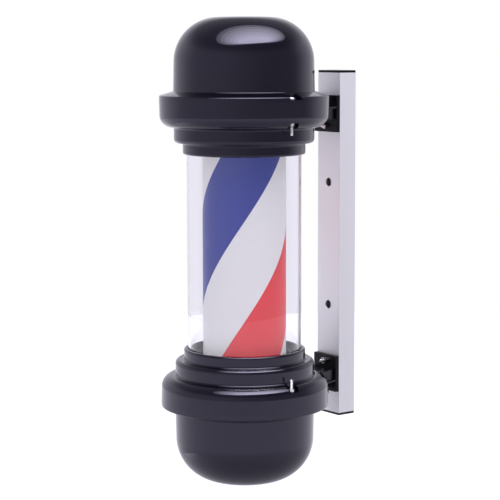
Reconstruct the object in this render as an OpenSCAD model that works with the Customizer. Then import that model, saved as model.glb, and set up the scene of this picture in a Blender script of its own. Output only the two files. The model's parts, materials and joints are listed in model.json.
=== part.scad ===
// Wall-mounted barber pole light: a clear tube with a turning striped drum between two black caps,
// held off the wall by two brackets on an aluminium bar.
// Frame: the origin is the centre of the bar's wall face, +Z is up and +Y points into the wall.
// Each cap is drawn once, for the upper end, and mirrored in the mid plane for the lower end.

/* [Lamp heights] */
// Height of the clear window between the two collars
window_h = 228.6; // [220:0.1:240]
// Height of the narrow ring around each end of the tube
neck_h = 13.2; // [11:0.1:14]
// Height of the middle ring of a collar
step_h = 18.5; // [18:0.1:22]
// Height of the wide ring of a collar, up to the seam with the dome
collar_h = 30.8; // [30:0.1:34]
// Height of the brim's outer edge
brim_t = 6.2; // [5:0.1:8]
// Height of a dome above its brim
dome_h = 90.5; // [88:0.1:95]

/* [Lamp radii] */
// Outer radius of the clear tube
tube_r = 67; // [66:0.1:67.2]
// Wall of the clear tube
tube_wall = 3; // [2:0.5:4]
// Outer radius of the narrow ring
neck_r = 71.7; // [71:0.1:74]
// Outer radius of the middle ring
step_r = 82; // [81:0.1:82.5]
// Outer radius of the wide ring
collar_r = 98.5; // [98:0.1:99]
// Radius of the rounded shoulder of the wide ring
shoulder_r = 14; // [12:0.5:14]
// Outer radius of the brim
brim_r = 98.9; // [98:0.1:99.1]
// Slope of the brim's top, in degrees
brim_slope = 17; // [10:1:18]
// Radius of the dome where it leaves the brim
dome_base_r = 82.4; // [82:0.1:83]
// Radius of the dome where its side starts to curve in
dome_side_r = 81.7; // [80:0.1:82]
// Radius of the rounded corner of the dome
dome_corner_r = 51.7; // [48:0.1:54]
// Radius of the shallow crown on top of the dome
crown_r = 700; // [400:10:900]
// Wall of the collars and domes
shell_wall = 2.8; // [2.4:0.1:3.2]

/* [Wall bar] */
// Width of the bar
bar_w = 42; // [40:0.5:46]
// Depth of the bar from the wall to its front
bar_d = 25; // [24:0.5:27]
// Wall of the bar's hollow section
bar_wall = 1.5; // [1.2:0.1:1.8]
// Height of the bar with its end caps
bar_h = 420; // [410:1:440]
// Thickness of an end cap's flange
bar_cap_t = 2.8; // [1.5:0.1:3]
// Distance between the two wall screws
wall_screw_pitch = 150; // [140:1:160]
// Radius of a wall screw's hole in the back of the bar
wall_screw_r = 2.75; // [2.5:0.05:3.2]
// Radius of the opening in front of a wall screw
access_r = 5.25; // [5:0.05:6]
// Distance from the wall to the axis of the lamp
reach = 152; // [152:1:156]

/* [Brackets] */
// Height of a bracket's plate
plate_h = 44; // [43:1:45]
// Thickness of a bracket's plate
plate_t = 5; // [4:0.5:6]
// Height of the middle of a bracket's arm above the mid plane
bracket_z = 159.5; // [159:0.5:160]
// Height of a bracket's arm
arm_h = 15; // [13:0.5:16]
// Width of the arm where it meets the collar
arm_w = 66; // [62:1:70]

/* [Drum] */
// Outer radius of the striped drum
drum_r = 49; // [47:0.1:50]
// Height of the drum
drum_h = 244; // [240:1:246]
// Height of one full turn of the stripes
stripe_lead = 464; // [400:1:520]
// Turn of the blue stripe's lower edge at mid height
blue_start = -156.9; // [-180:0.1:180]
// Radius of the stem that carries the bulb
stem_r = 5; // [4.5:0.1:5.5]
// Running clearance of every turning pair, on the radius
running_gap = 0.06; // [0.02:0.01:0.1]

/* [Switches] */
// Distance from the middle of the dome to each rocker switch
switch_x = 7.5; // [7:0.5:9]
// Angle between the two positions of a rocker
rocker_swing = 20; // [16:1:20]

/* [Hidden] */
$fn = 96;

// Heights above the mid plane
z_rim = window_h / 2;
z_neck = z_rim + neck_h;
z_step = z_neck + step_h;
z_seam = z_step + collar_h;
z_brim = z_seam + brim_t;
z_top = z_brim + dome_h;
pocket_depth = 15.7;
z_shelf = z_rim + pocket_depth;
shelf_t = 3;
z_plate = z_shelf + shelf_t;
inner_plate_t = 2;
z_deck = z_plate + inner_plate_t;

// Tube ends
pocket_r = tube_r + 0.3;
gasket_t = 2;
z_tube = z_shelf - gasket_t;
shelf_r = 60;
plate_screw_circle = 74;
plate_screw_r = 1.45;
plate_screw_length = 7;
inner_plate_r = step_r - shell_wall - 0.5;

// Brim with a rounded edge, a sloping top and a fillet at the foot of the dome
brim_edge_r = 2;
foot_r = 1;
edge_top = [brim_r + brim_edge_r * (sin(brim_slope) - 1), z_brim + brim_edge_r * (cos(brim_slope) - 1)];
function slope_z(r) = edge_top[1] + (edge_top[0] - r) * tan(brim_slope);
foot_z = slope_z(dome_base_r + foot_r) + foot_r / cos(brim_slope);
groove_r = 92;

// Rounded edges of the rings, the fillets at their roots, the shoulder and the hollow
neck_edge_r = 2.4;
step_edge_r = 5;
root_r = 2;
shoulder_c = collar_r - shoulder_r;
z_shoulder = z_step + shoulder_r;
hollow_r = collar_r - shell_wall;
rim_inner_r = 93;
seal_in = 94;
seal_out = 96.5;
seal_t = 1;

// M4 bolts through brim and collar
bolt_circle = 90.2;
bolt_r = 2;
bolt_hole_r = 2.2;
bolt_length = 40;
bolt_head_r = 4;
bolt_head_h = 2.8;
head_seat_z = z_seam + 2.6;
open_pocket_r = 8.5;
closed_pocket_r = 7.4;
nut_r = 4.04;
nut_h = 3.2;
nut_pocket_h = 7.5;
nut_seat_z = z_step + nut_pocket_h;
nut_pocket_r = 8;
post_r = 5.6;
post_base_h = 9.5;

// Lug at the back of a brim
lug_w = 42;
lug_y = 113;
lug_corner_r = 3;
lug_screw_y = 105;
lug_z = z_seam - 4.8;
lug_top_z = z_seam + 3.6;
lug_seat_z = z_seam + 0.6;
lug_screw_length = 20;

// Wall side, measured from the lamp's axis
bar_front = reach - bar_d;
arm_root = bar_front - plate_t;
plate_z = bracket_z - 1.2;
plate_bolt_z = [plate_z - 14.5, plate_z + 14.5];
arm_flange_t = 2;
arm_recess = 3;
plate_bolt_length = 14;
lead_x = -10;
lead_hole_r = 3.5;
saddle_angle = 11;
saddle_screw_r = 1.75;
saddle_screw_length = 12;
saddle_head_r = 3.4;
saddle_seat_y = hollow_r - 0.15;
lug_boss_r = 6;
cap_plug_h = 10;
cap_plug_wall = 1.6;

// Drum
drum_wall = 1.5;
band_t = 0.35;
sleeve_r = drum_r - 0.6;
sleeve_in = sleeve_r - drum_wall;
disc_t = 3;
z_drum = drum_h / 2;
band_arc = 90;
drum_twist = 360 * drum_h / stripe_lead;

// Motor and its gears
motor_r = 25;
motor_ear_x = 30;
motor_ear_r = 5;
lead_exit_z = 14.5;
motor_h = 18;
motor_floor = 1.5;
z_motor = z_deck + motor_floor;
z_motor_top = z_deck + motor_h;
shaft_r = 3.5;
gear_module = 0.4;
pressure_angle = 20;
addendum = 0.75;
dedendum = 1.1;
tooth_slack = 1.2;
wheel_teeth = 48;
pinion_teeth = 12;
gear_centres = gear_module * (wheel_teeth + pinion_teeth) / 2;
pin_r = 1;
z_gear = z_motor + 1.5;
z_wheel = z_gear + 4.5;
gear_t = 3;
wheel_t = 2.3;

// Terminal block on the motor plate
block = [38, 17, 13];
block_y = -61;
terminal_x = [-12, 0, 12];
terminal_y = [-57, -48];
terminal_z = 7;

// Rocker switches under the lower dome
z_switch = z_top - 3.6;
switch_body = [8.8, 13.8, 12];
switch_bezel = [10.5, 15.4, 1.2];
switch_well = [7.6, 12.2, 6];
rocker_pivot = -1;

// Vent slots at the back of the upper dome
vent_w = 6;
vent_h = 16;
vent_pitch = 12;
vent_z = z_brim + 32;

// Cable gland behind the lower dome
z_gland = z_brim + 35;
gland_r = 6;
gland_boss_r = 11;
gland_boss_h = 8;
gland_hex_r = 8.66;
gland_cap_r = 7.4;
gland_bore_r = 3.6;
gland_inner_r = 4.4;
gland_face = 84;

// Bulb and holder
holder_r = 19;
z_holder = [52, 104];
z_bulb_cap = [60, 86];
z_board = [28, 30];
globe_r = 30;
globe_z = 8;
globe_wall = 1.3;
z_globe_mouth = z_board[0] + 1;
holder_bore_r = 14;
holder_cone_h = 8;
skirt_r = 13.4;

// Routes of the two inner leads, from the lamp's axis, in millimetres
lamp_route = [
    [12, -46, -142], [12, -43.5, -142], [16, -38, -143.6], [27, -28, -149],
    [36, -8, -156], [32, 22, -159], [14, 52, -159.5],
    [-6, 78, -159.5], [-10, 92, -159.5], [-10, 108, -159.5], [-10, 126, -159.5], [-10, 136, -157],
    [-10, 141, -149], [-10, 141, -138], [-10, 141, 0], [-10, 141, 138], [-10, 141, 149],
    [-10, 136, 157], [-10, 126, 159.5], [-10, 108, 159.5], [-10, 92, 159.5], [-9, 60, 160],
    [-5, 24, 161], [-1, 6, 158], [0, 0, 150], [0, 0, 140], [0, 0, 118], [0, 0, 96]
];
lamp_lead_r = 2.5;
motor_route = [
    [0, -23.4, -149.5], [0, -27, -149.5], [0, -31, -149], [0, -36, -147], [0, -40, -144],
    [0, -43, -142.2], [0, -45, -142]
];
motor_lead_r = 1.7;

// ---- Helpers ----

// Points of an arc in a profile
function arc(cx, cy, r, a0, a1, n) =
    [for (i = [0 : n]) let (a = a0 + (a1 - a0) * i / n) [cx + r * cos(a), cy + r * sin(a)]];

function unit(v) = v / norm(v);

// One point on the smooth curve through p, between p[i] and p[i + 1]
function curve_point(p, i, t) =
    let (a = p[max(i - 1, 0)], b = p[i], c = p[i + 1], d = p[min(i + 2, len(p) - 1)])
    0.5 * (2 * b + (c - a) * t + (2 * a - 5 * b + 4 * c - d) * t * t + (3 * b - a - 3 * c + d) * t * t * t);

// The route with two steps between each pair of its points
function smooth_route(p) =
    concat([for (i = [0 : len(p) - 2], t = [0, 0.5]) curve_point(p, i, t)], [p[len(p) - 1]]);

function direction(p, i) = unit(p[min(i + 1, len(p) - 1)] - p[max(i - 1, 0)]);

// Ring of points around one place on a route
function ring(p, i, r, sides) =
    let (d = direction(p, i), u = unit([1, 0, 0] - d[0] * d), v = cross(d, u))
    [for (k = [0 : sides - 1]) p[i] + r * (cos(360 * k / sides) * u + sin(360 * k / sides) * v)];

// Involute angle in degrees
function involute(a) = tan(a) * 180 / PI - a;

// Half the angle that a gear tooth takes up at radius r
function tooth_half(teeth, r) =
    let (
        base_r = gear_module * teeth / 2 * cos(pressure_angle),
        at_r = involute(acos(min(1, base_r / max(r, base_r))))
    )
    90 / teeth - tooth_slack / (gear_module * teeth) + involute(pressure_angle) - at_r;

module upper_end() {
    translate([0, -reach, 0]) children();
}

module lower_end() {
    translate([0, -reach, 0]) mirror([0, 0, 1]) children();
}

module both_ends() {
    upper_end() children();
    lower_end() children();
}

// A cylinder along +Y that starts at a point
module along_y(x, y, z, r, h) {
    translate([x, y, z]) rotate([-90, 0, 0]) cylinder(r = r, h = h);
}

module tube(r_out, r_in, z0, z1) {
    translate([0, 0, z0]) difference() {
        cylinder(r = r_out, h = z1 - z0);
        translate([0, 0, -1]) cylinder(r = r_in, h = z1 - z0 + 2);
    }
}

// Centres of the two bolts of a cap
module at_bolts() {
    for (side = [-1, 1]) translate([side * bolt_circle, 0, 0]) children();
}

module at_plate_screws() {
    for (a = [45 : 90 : 315]) rotate(a) translate([plate_screw_circle, 0, 0]) children();
}

// Cross recess of a screw head, cut down from z = 0
module cross_recess(size, depth) {
    for (a = [0, 90]) rotate(a) translate([-size / 2, -size / 8, -depth]) cube([size, size / 4, depth + 1]);
}

// Screw with a round head above z = 0 and its shank below
module pan_screw(r, length, head_r, head_h) {
    difference() {
        union() {
            translate([0, 0, -length]) cylinder(r = r, h = length + 0.5);
            cylinder(r = head_r, h = head_h * 0.5);
            translate([0, 0, head_h * 0.5]) cylinder(r1 = head_r, r2 = head_r * 0.7, h = head_h * 0.5);
        }
        translate([0, 0, head_h]) cross_recess(head_r * 1.1, head_h * 0.6);
    }
}

// Hexagon nut that stands on z = 0
module hex_nut(r, h, hole_r) {
    difference() {
        cylinder(r = r, h = h, $fn = 6);
        translate([0, 0, -1]) cylinder(r = hole_r, h = h + 2);
    }
}

// Spur gear with involute teeth and one tooth at angle zero
module spur_gear(teeth, thickness, hole_r) {
    pitch_r = gear_module * teeth / 2;
    root_r = pitch_r - dedendum * gear_module;
    tip_r = pitch_r + addendum * gear_module;
    radii = [root_r, pitch_r * cos(pressure_angle), pitch_r, (pitch_r + tip_r) / 2, tip_r];
    outline = [
        for (i = [0 : teeth - 1], k = [0 : 2 * len(radii) - 1])
            let (
                rising = k < len(radii),
                r = radii[rising ? k : 2 * len(radii) - 1 - k],
                a = 360 * i / teeth + (rising ? -1 : 1) * tooth_half(teeth, r)
            )
            [r * cos(a), r * sin(a)]
    ];
    difference() {
        linear_extrude(height = thickness) polygon(outline);
        if (hole_r > 0) translate([0, 0, -1]) cylinder(r = hole_r, h = thickness + 2);
    }
}

// Round lead swept along a route
module lead(route, r, sides) {
    p = smooth_route(route);
    last = len(p) - 1;
    points = [for (i = [0 : last]) each ring(p, i, r, sides)];
    walls = [
        for (i = [0 : last - 1], k = [0 : sides - 1])
            let (a = i * sides + k, b = i * sides + (k + 1) % sides)
            each [[a, a + sides, b], [b, a + sides, b + sides]]
    ];
    first_cap = [for (k = [0 : sides - 1]) k];
    last_cap = [for (k = [sides - 1 : -1 : 0]) last * sides + k];
    translate([0, -reach, 0]) polyhedron(points, concat(walls, [first_cap, last_cap]));
}

// ---- Wall bar ----

module wall_bar() {
    body_h = bar_h - 2 * bar_cap_t;
    color("silver") difference() {
        translate([-bar_w / 2, -bar_d, -body_h / 2]) cube([bar_w, bar_d, body_h]);
        translate([-bar_w / 2 + bar_wall, bar_wall - bar_d, -body_h / 2 - 1])
            cube([bar_w - 2 * bar_wall, bar_d - 2 * bar_wall, body_h + 2]);
        for (z = [-wall_screw_pitch / 2, wall_screw_pitch / 2]) {
            along_y(0, -bar_d - 1, z, access_r, bar_wall + 2);
            along_y(0, -bar_wall - 1, z, wall_screw_r, bar_wall + 2);
        }
        for (side = [-1, 1]) {
            for (z = plate_bolt_z) {
                along_y(0, -bar_d - 1, side * z, bolt_hole_r, bar_wall + 2);
                along_y(0, -bar_wall - 1, side * z, access_r, bar_wall + 2);
            }
            along_y(lead_x, -bar_d - 1, side * bracket_z, lead_hole_r, bar_wall + 2);
        }
    }
}

// End cap of the bar, drawn for the upper end
module bar_cap() {
    plug = [bar_w - 2 * bar_wall - 0.2, bar_d - 2 * bar_wall - 0.2, cap_plug_h];
    z = bar_h / 2 - bar_cap_t;
    color("#1c1c20") translate([0, -bar_d / 2, z]) {
        translate([-bar_w / 2, -bar_d / 2, 0]) cube([bar_w, bar_d, bar_cap_t]);
        difference() {
            translate([-plug[0] / 2, -plug[1] / 2, -plug[2]]) cube([plug[0], plug[1], plug[2] + 0.5]);
            translate([cap_plug_wall - plug[0] / 2, cap_plug_wall - plug[1] / 2, -plug[2] - 1])
                cube([plug[0] - 2 * cap_plug_wall, plug[1] - 2 * cap_plug_wall, plug[2] + 1]);
        }
    }
}

module bar_top_cap() {
    bar_cap();
}

module bar_bottom_cap() {
    mirror([0, 0, 1]) bar_cap();
}

// ---- Brackets ----

// Plan of a bracket's arm, narrower by inset on each side
module arm_plan(inset) {
    collar_y = sqrt(collar_r * collar_r - arm_w * arm_w / 4) - 1;
    root_x = bar_w / 2 - inset;
    polygon([
        [-root_x, arm_root + 1], [-root_x, arm_root], [inset - arm_w / 2, collar_y],
        [arm_w / 2 - inset, collar_y], [root_x, arm_root], [root_x, arm_root + 1]
    ]);
}

module bracket() {
    arm_z = bracket_z - arm_h / 2;
    color("#1c1c20") difference() {
        union() {
            translate([-bar_w / 2, arm_root, plate_z - plate_h / 2]) cube([bar_w, plate_t, plate_h]);
            translate([0, 0, arm_z]) linear_extrude(height = arm_h) arm_plan(arm_recess);
            translate([0, 0, arm_z + arm_h - arm_flange_t]) linear_extrude(height = arm_flange_t)
                arm_plan(0);
            translate([0, lug_screw_y, arm_z]) cylinder(r = lug_boss_r, h = lug_z - arm_z);
        }
        translate([0, 0, arm_z - 1]) cylinder(r = collar_r + 0.1, h = z_seam);
        for (z = plate_bolt_z) along_y(0, arm_root - 1, z, bolt_hole_r, plate_t + 2);
        along_y(lead_x, collar_r - 8, bracket_z, lead_hole_r, bar_front - collar_r + 10);
        translate([0, lug_screw_y, lug_seat_z - lug_screw_length - 1]) cylinder(r = bolt_r + 0.05, h = 40);
        for (a = [-saddle_angle, saddle_angle])
            rotate(a) along_y(0, hollow_r, bracket_z, saddle_screw_r + 0.05, saddle_screw_length + 1);
    }
}

module upper_bracket() {
    upper_end() bracket();
}

module lower_bracket() {
    lower_end() bracket();
}

// Bolts that clamp the brackets to the bar, with their heads inside the bar
module bracket_bolts() {
    color("gainsboro") both_ends() for (z = plate_bolt_z)
        translate([0, bar_front + bar_wall, z]) rotate([-90, 0, 0])
            pan_screw(bolt_r, plate_bolt_length, bolt_head_r, bolt_head_h);
}

module bracket_nuts() {
    color("gainsboro") both_ends() for (z = plate_bolt_z)
        translate([0, arm_root - nut_h, z]) rotate([-90, 0, 0]) hex_nut(nut_r, nut_h, bolt_r + 0.05);
}

// Screws from inside the collars into the bracket arms
module saddle_screws() {
    color("gainsboro") both_ends() for (a = [-saddle_angle, saddle_angle])
        rotate(a) translate([0, saddle_seat_y, bracket_z]) rotate([90, 0, 0])
            pan_screw(saddle_screw_r, saddle_screw_length, saddle_head_r, 2.2);
}

// Screws through the domes' lugs into the bracket arms
module lug_screws() {
    color("gainsboro") both_ends() translate([0, lug_screw_y, lug_seat_z])
        pan_screw(bolt_r, lug_screw_length, bolt_head_r, bolt_head_h);
}

// ---- Collars and domes ----

function collar_outside() = concat(
    [[pocket_r, z_rim]],
    arc(neck_r - neck_edge_r, z_rim + neck_edge_r, neck_edge_r, -90, 0, 5),
    arc(neck_r + root_r, z_neck - root_r, root_r, 180, 90, 4),
    arc(step_r - step_edge_r, z_neck + step_edge_r, step_edge_r, -90, 0, 8),
    arc(step_r + root_r, z_step - root_r, root_r, 180, 90, 4),
    arc(shoulder_c, z_shoulder, shoulder_r, -90, 0, 16),
    [[collar_r, z_seam]]
);

function collar_inside() = concat(
    [[rim_inner_r, z_seam], [rim_inner_r, z_seam - 4], [hollow_r, z_seam - 7]],
    arc(shoulder_c, z_shoulder, shoulder_r - shell_wall, 0, -90, 12),
    [[step_r - shell_wall, z_step + shell_wall], [step_r - shell_wall, z_plate], [shelf_r, z_plate]],
    [[shelf_r, z_shelf], [pocket_r, z_shelf]]
);

// Posts for the two bolts, kept inside the collar's outer surface
module bolt_posts() {
    intersection() {
        at_bolts() {
            translate([0, 0, z_step + 1]) cylinder(r = nut_pocket_r + 2, h = post_base_h);
            translate([0, 0, z_step + post_base_h]) cylinder(r = post_r, h = collar_h - post_base_h);
        }
        rotate_extrude() polygon(concat([[shelf_r, z_rim]], collar_outside(), [[shelf_r, z_seam]]));
    }
}

module collar() {
    color("#26252e") difference() {
        union() {
            rotate_extrude() polygon(concat(collar_outside(), collar_inside()));
            bolt_posts();
        }
        tube(seal_out + 0.05, seal_in - 0.05, z_seam - seal_t, z_seam + 1);
        at_bolts() {
            translate([0, 0, z_step - 4]) cylinder(r = nut_pocket_r, h = nut_seat_z - z_step + 4);
            translate([0, 0, z_step]) cylinder(r = bolt_hole_r, h = collar_h + 1);
        }
        at_plate_screws() translate([0, 0, z_deck - plate_screw_length - 0.6])
            cylinder(r = plate_screw_r + 0.05, h = plate_screw_length);
        along_y(lead_x, hollow_r - 8, bracket_z, lead_hole_r, 20);
        for (a = [-saddle_angle, saddle_angle]) rotate(a) {
            along_y(0, hollow_r - 6, bracket_z, saddle_screw_r + 0.15, 12);
            along_y(0, saddle_seat_y - 6, bracket_z, saddle_head_r + 0.2, 6);
        }
    }
}

module upper_collar() {
    upper_end() collar();
}

module lower_collar() {
    lower_end() collar();
}

// Half profile of the dome's round top, offset inward by inset
function dome_curve(inset) =
    let (
        corner_x = dome_side_r - dome_corner_r,
        crown_z = z_top - crown_r,
        tilt = asin(corner_x / (crown_r - dome_corner_r)),
        corner_z = crown_z + (crown_r - dome_corner_r) * cos(tilt)
    )
    concat(
        arc(corner_x, corner_z, dome_corner_r - inset, 0, 90 - tilt, 28),
        arc(0, crown_z, crown_r - inset, 90 - tilt * 0.7, 90, 3)
    );

function reversed(p) = [for (i = [len(p) - 1 : -1 : 0]) p[i]];

function dome_outside() = concat(
    [[brim_r, z_seam]],
    arc(brim_r - brim_edge_r, z_brim - brim_edge_r, brim_edge_r, 0, 90 - brim_slope, 5),
    arc(dome_base_r + foot_r, foot_z, foot_r, 270 - brim_slope, 180, 5),
    dome_curve(0)
);

function dome_inside() = concat(
    reversed(dome_curve(shell_wall)),
    [[dome_base_r - shell_wall, z_seam]]
);

// Plan of the lug at the back of the brim, with rounded corners
module lug_plan() {
    inner_y = 86;
    corner_x = lug_w / 2 - lug_corner_r;
    corner_y = lug_y - lug_corner_r;
    translate([-lug_w / 2, inner_y]) square([lug_w, corner_y - inner_y]);
    translate([-corner_x, inner_y]) square([2 * corner_x, lug_y - inner_y]);
    for (side = [-1, 1]) translate([side * corner_x, corner_y]) circle(r = lug_corner_r);
}

// Lug, which hangs down behind the collar onto the bracket's boss
module lug() {
    translate([0, 0, z_seam]) linear_extrude(height = lug_top_z - z_seam) lug_plan();
    translate([0, 0, lug_z]) linear_extrude(height = z_seam - lug_z + 0.5) difference() {
        lug_plan();
        circle(r = collar_r + 0.1);
    }
}

// Groove under the brim, broken by the bolt bosses and the lug
module brim_groove() {
    roof = shell_wall / cos(brim_slope);
    difference() {
        rotate_extrude() polygon([
            [dome_base_r, z_seam - 1], [groove_r, z_seam - 1],
            [groove_r, slope_z(groove_r) - roof], [dome_base_r, slope_z(dome_base_r) - roof]
        ]);
        at_bolts() cylinder(r = open_pocket_r + shell_wall, h = z_top);
        translate([-lug_w / 2, 0, 0]) cube([lug_w, lug_y, z_top]);
    }
}

// Pockets for the bolt heads, which leave the dome's wall whole
module head_pockets(radius, open_edge) {
    depth = 12;
    difference() {
        for (turn = [0, 180]) rotate(turn) translate([bolt_circle, 0, head_seat_z]) {
            cylinder(r = radius, h = depth);
            if (open_edge) translate([0, -radius, 0]) cube([brim_r, 2 * radius, depth]);
        }
        cylinder(r = dome_base_r, h = z_top);
    }
}

module dome_shell(pocket_r, open_edge) {
    difference() {
        union() {
            rotate_extrude() polygon(concat(dome_outside(), dome_inside()));
            lug();
        }
        brim_groove();
        head_pockets(pocket_r, open_edge);
        at_bolts() translate([0, 0, z_seam - 1]) cylinder(r = bolt_hole_r, h = brim_t + 2);
        translate([0, lug_screw_y, lug_z - 1]) cylinder(r = bolt_hole_r, h = brim_t + 2);
        translate([0, lug_screw_y, lug_seat_z]) cylinder(r = bolt_head_r + 0.5, h = 8);
    }
}

// Upright slot with round ends through the back of a dome
module vent_slot() {
    end_r = vent_w / 2;
    translate([-end_r, dome_base_r - 20, end_r]) cube([vent_w, 30, vent_h - vent_w]);
    for (z = [end_r, vent_h - end_r]) along_y(0, dome_base_r - 20, z, end_r, 30);
}

module upper_dome() {
    color("#201f27") upper_end() difference() {
        dome_shell(open_pocket_r, true);
        for (x = [-vent_pitch, 0, vent_pitch]) translate([x, 0, vent_z]) vent_slot();
    }
}

// Same shell with a seat for the cable gland and a sunk seat for the two switches
module lower_dome() {
    seat = [2 * switch_x + 14, 19];
    color("#33313d") lower_end() difference() {
        union() {
            dome_shell(closed_pocket_r, false);
            along_y(0, gland_face - gland_boss_h, z_gland, gland_boss_r, gland_boss_h);
            translate([-seat[0] / 2 - 2, -seat[1] / 2 - 2, z_switch - 3])
                cube([seat[0] + 4, seat[1] + 4, z_top - z_switch]);
        }
        along_y(0, gland_face - 12, z_gland, gland_r + 0.1, 14);
        translate([-seat[0] / 2, -seat[1] / 2, z_switch]) cube([seat[0], seat[1], 10]);
        for (side = [-1, 1]) translate([side * switch_x, 0, z_switch])
            cube([switch_body[0] + 0.2, switch_body[1] + 0.2, 20], center = true);
    }
}

// Bolts through brim and collar, two to a cap
module collar_bolts() {
    color("gainsboro") both_ends() at_bolts() translate([0, 0, head_seat_z])
        pan_screw(bolt_r, bolt_length, bolt_head_r, bolt_head_h);
}

module collar_nuts() {
    color("gainsboro") both_ends() at_bolts() translate([0, 0, nut_seat_z - nut_h])
        hex_nut(nut_r, nut_h, bolt_r + 0.05);
}

// ---- Clear tube and seals ----

module clear_tube() {
    color("aliceblue", 0.35) translate([0, -reach, 0]) tube(tube_r, tube_r - tube_wall, -z_tube, z_tube);
}

module tube_gasket() {
    color("#303030") tube(tube_r, tube_r - tube_wall - 1, z_tube, z_shelf);
}

module upper_tube_gasket() {
    upper_end() tube_gasket();
}

module lower_tube_gasket() {
    lower_end() tube_gasket();
}

module dome_seal() {
    color("#303030") tube(seal_out, seal_in, z_seam - seal_t, z_seam);
}

module upper_dome_seal() {
    upper_end() dome_seal();
}

module lower_dome_seal() {
    lower_end() dome_seal();
}

// ---- Inner plates and lamp ----

// Round plate on a collar's shelf
module inner_plate() {
    difference() {
        translate([0, 0, z_plate]) cylinder(r = inner_plate_r, h = inner_plate_t);
        at_plate_screws() translate([0, 0, z_plate - 1])
            cylinder(r = plate_screw_r + 0.25, h = inner_plate_t + 2);
        children();
    }
}

module lamp_plate() {
    color("lightgray") upper_end() inner_plate()
        translate([0, 0, z_plate - 1]) cylinder(r = stem_r + 0.1, h = inner_plate_t + 2);
}

module motor_plate() {
    color("lightgray") lower_end() inner_plate() {
        translate([0, 0, z_plate - 1]) cylinder(r = shaft_r + 1.5, h = inner_plate_t + 2);
        for (side = [-1, 1]) translate([side * motor_ear_x, 0, z_plate - 1])
            cylinder(r = bolt_r + 0.05, h = inner_plate_t + 2);
    }
}

module plate_screws() {
    color("gainsboro") both_ends() at_plate_screws() translate([0, 0, z_deck])
        pan_screw(plate_screw_r, plate_screw_length, 2.8, 2);
}

// Hollow stem that holds the lamp holder and is the drum's upper axle
module lamp_stem() {
    color("gainsboro") upper_end() tube(stem_r, stem_r - 1.5, z_holder[1] - 10, z_deck + 9);
}

module stem_nuts() {
    color("goldenrod") upper_end() for (z = [z_deck, z_plate - 3])
        translate([0, 0, z]) hex_nut(8.1, 3, stem_r + 0.05);
}

module lamp_holder() {
    cone_z = z_holder[1] - holder_cone_h;
    color("ivory") upper_end() difference() {
        union() {
            translate([0, 0, z_holder[0]]) cylinder(r = holder_r, h = cone_z - z_holder[0]);
            translate([0, 0, cone_z]) cylinder(r1 = holder_r, r2 = 11, h = z_holder[1] - cone_z);
        }
        translate([0, 0, z_holder[0] - 1]) cylinder(r = holder_bore_r, h = 41);
        translate([0, 0, z_holder[1] - 10]) cylinder(r = stem_r + 0.05, h = 12);
        translate([6, 0, z_holder[0] + 38]) cylinder(r = 1.8, h = 4);
    }
}

module holder_contact() {
    color("goldenrod") upper_end() translate([0, 0, z_bulb_cap[1] + 3]) cylinder(r = 5, h = 3);
}

// Screw cap of the bulb, with its end contact
module bulb_cap() {
    thread_pitch = 3.6;
    color("silver") upper_end() {
        translate([0, 0, z_bulb_cap[0]]) cylinder(r = 12.4, h = z_bulb_cap[1] - z_bulb_cap[0]);
        for (z = [z_bulb_cap[0] + 4 : thread_pitch : z_bulb_cap[1] - 3])
            translate([0, 0, z]) rotate_extrude() translate([12.2, 0]) circle(r = 1);
        translate([0, 0, z_bulb_cap[1] - 0.1]) cylinder(r1 = 9, r2 = 5, h = 3.1);
    }
}

module bulb_heatsink() {
    color("white") upper_end() rotate_extrude() polygon([
        [0, z_board[1]], [24, z_board[1]], [25.5, z_board[1] + 2], [25, z_board[1] + 8],
        [skirt_r, z_holder[0] - 1], [skirt_r, z_bulb_cap[0]], [0, z_bulb_cap[0]]
    ]);
}

module led_board() {
    color("white") upper_end() difference() {
        union() {
            translate([0, 0, z_globe_mouth]) cylinder(r = 21, h = z_board[1] - z_globe_mouth);
            for (a = [0 : 45 : 315]) rotate(a) translate([13.5, -1.5, z_board[0]]) cube([3, 3, 1.2]);
        }
        translate([0, 0, z_board[0]]) cylinder(r = 2, h = 4);
    }
}

module bulb_globe() {
    mouth = asin((z_globe_mouth - globe_z) / globe_r);
    inner_r = globe_r - globe_wall;
    inner_mouth = asin((z_globe_mouth - globe_z) / inner_r);
    color("white", 0.8) upper_end() rotate_extrude() polygon(concat(
        arc(0, globe_z, globe_r, -90, mouth, 20),
        arc(0, globe_z, inner_r, inner_mouth, -90, 20)
    ));
}

// ---- Drum ----

module drum_sleeve() {
    color("whitesmoke") translate([0, -reach, 0]) tube(sleeve_r, sleeve_in, -z_drum, z_drum);
}

// Strip of printed film wound round the sleeve
module band(start) {
    steps = 12;
    outline = concat(
        arc(0, 0, drum_r, 0, band_arc, steps),
        reversed(arc(0, 0, drum_r - band_t, 0, band_arc, steps))
    );
    translate([0, -reach, -z_drum]) rotate(start - drum_twist / 2)
        linear_extrude(height = drum_h, twist = -drum_twist, slices = 40, $fn = 12) polygon(outline);
}

module blue_band() {
    color("#3c4a96") band(blue_start);
}

module red_band() {
    color("#d8434f") band(blue_start + 2 * band_arc);
}

module drum_top_disc() {
    color("whitesmoke") upper_end() tube(sleeve_in - 0.05, 8, z_drum - disc_t, z_drum);
}

// Plain bearing between the drum and the stem
module drum_bush() {
    color("ivory") upper_end() {
        tube(8, stem_r + running_gap, z_drum - disc_t - 2, z_drum + 2);
        tube(11, 7.9, z_drum, z_drum + 2);
    }
}

// Lower disc with the hub that takes the motor's shaft
module drum_bottom_disc() {
    color("whitesmoke") lower_end() difference() {
        union() {
            translate([0, 0, z_drum - disc_t]) cylinder(r = sleeve_in - 0.05, h = disc_t);
            translate([0, 0, z_drum - disc_t - 4]) cylinder(r = 8, h = 12);
        }
        translate([0, 0, z_drum - 12]) cylinder(r = shaft_r + 0.03, h = 20);
        along_y(0, -10, z_drum + 2.5, 1.55, 10);
    }
}

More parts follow.
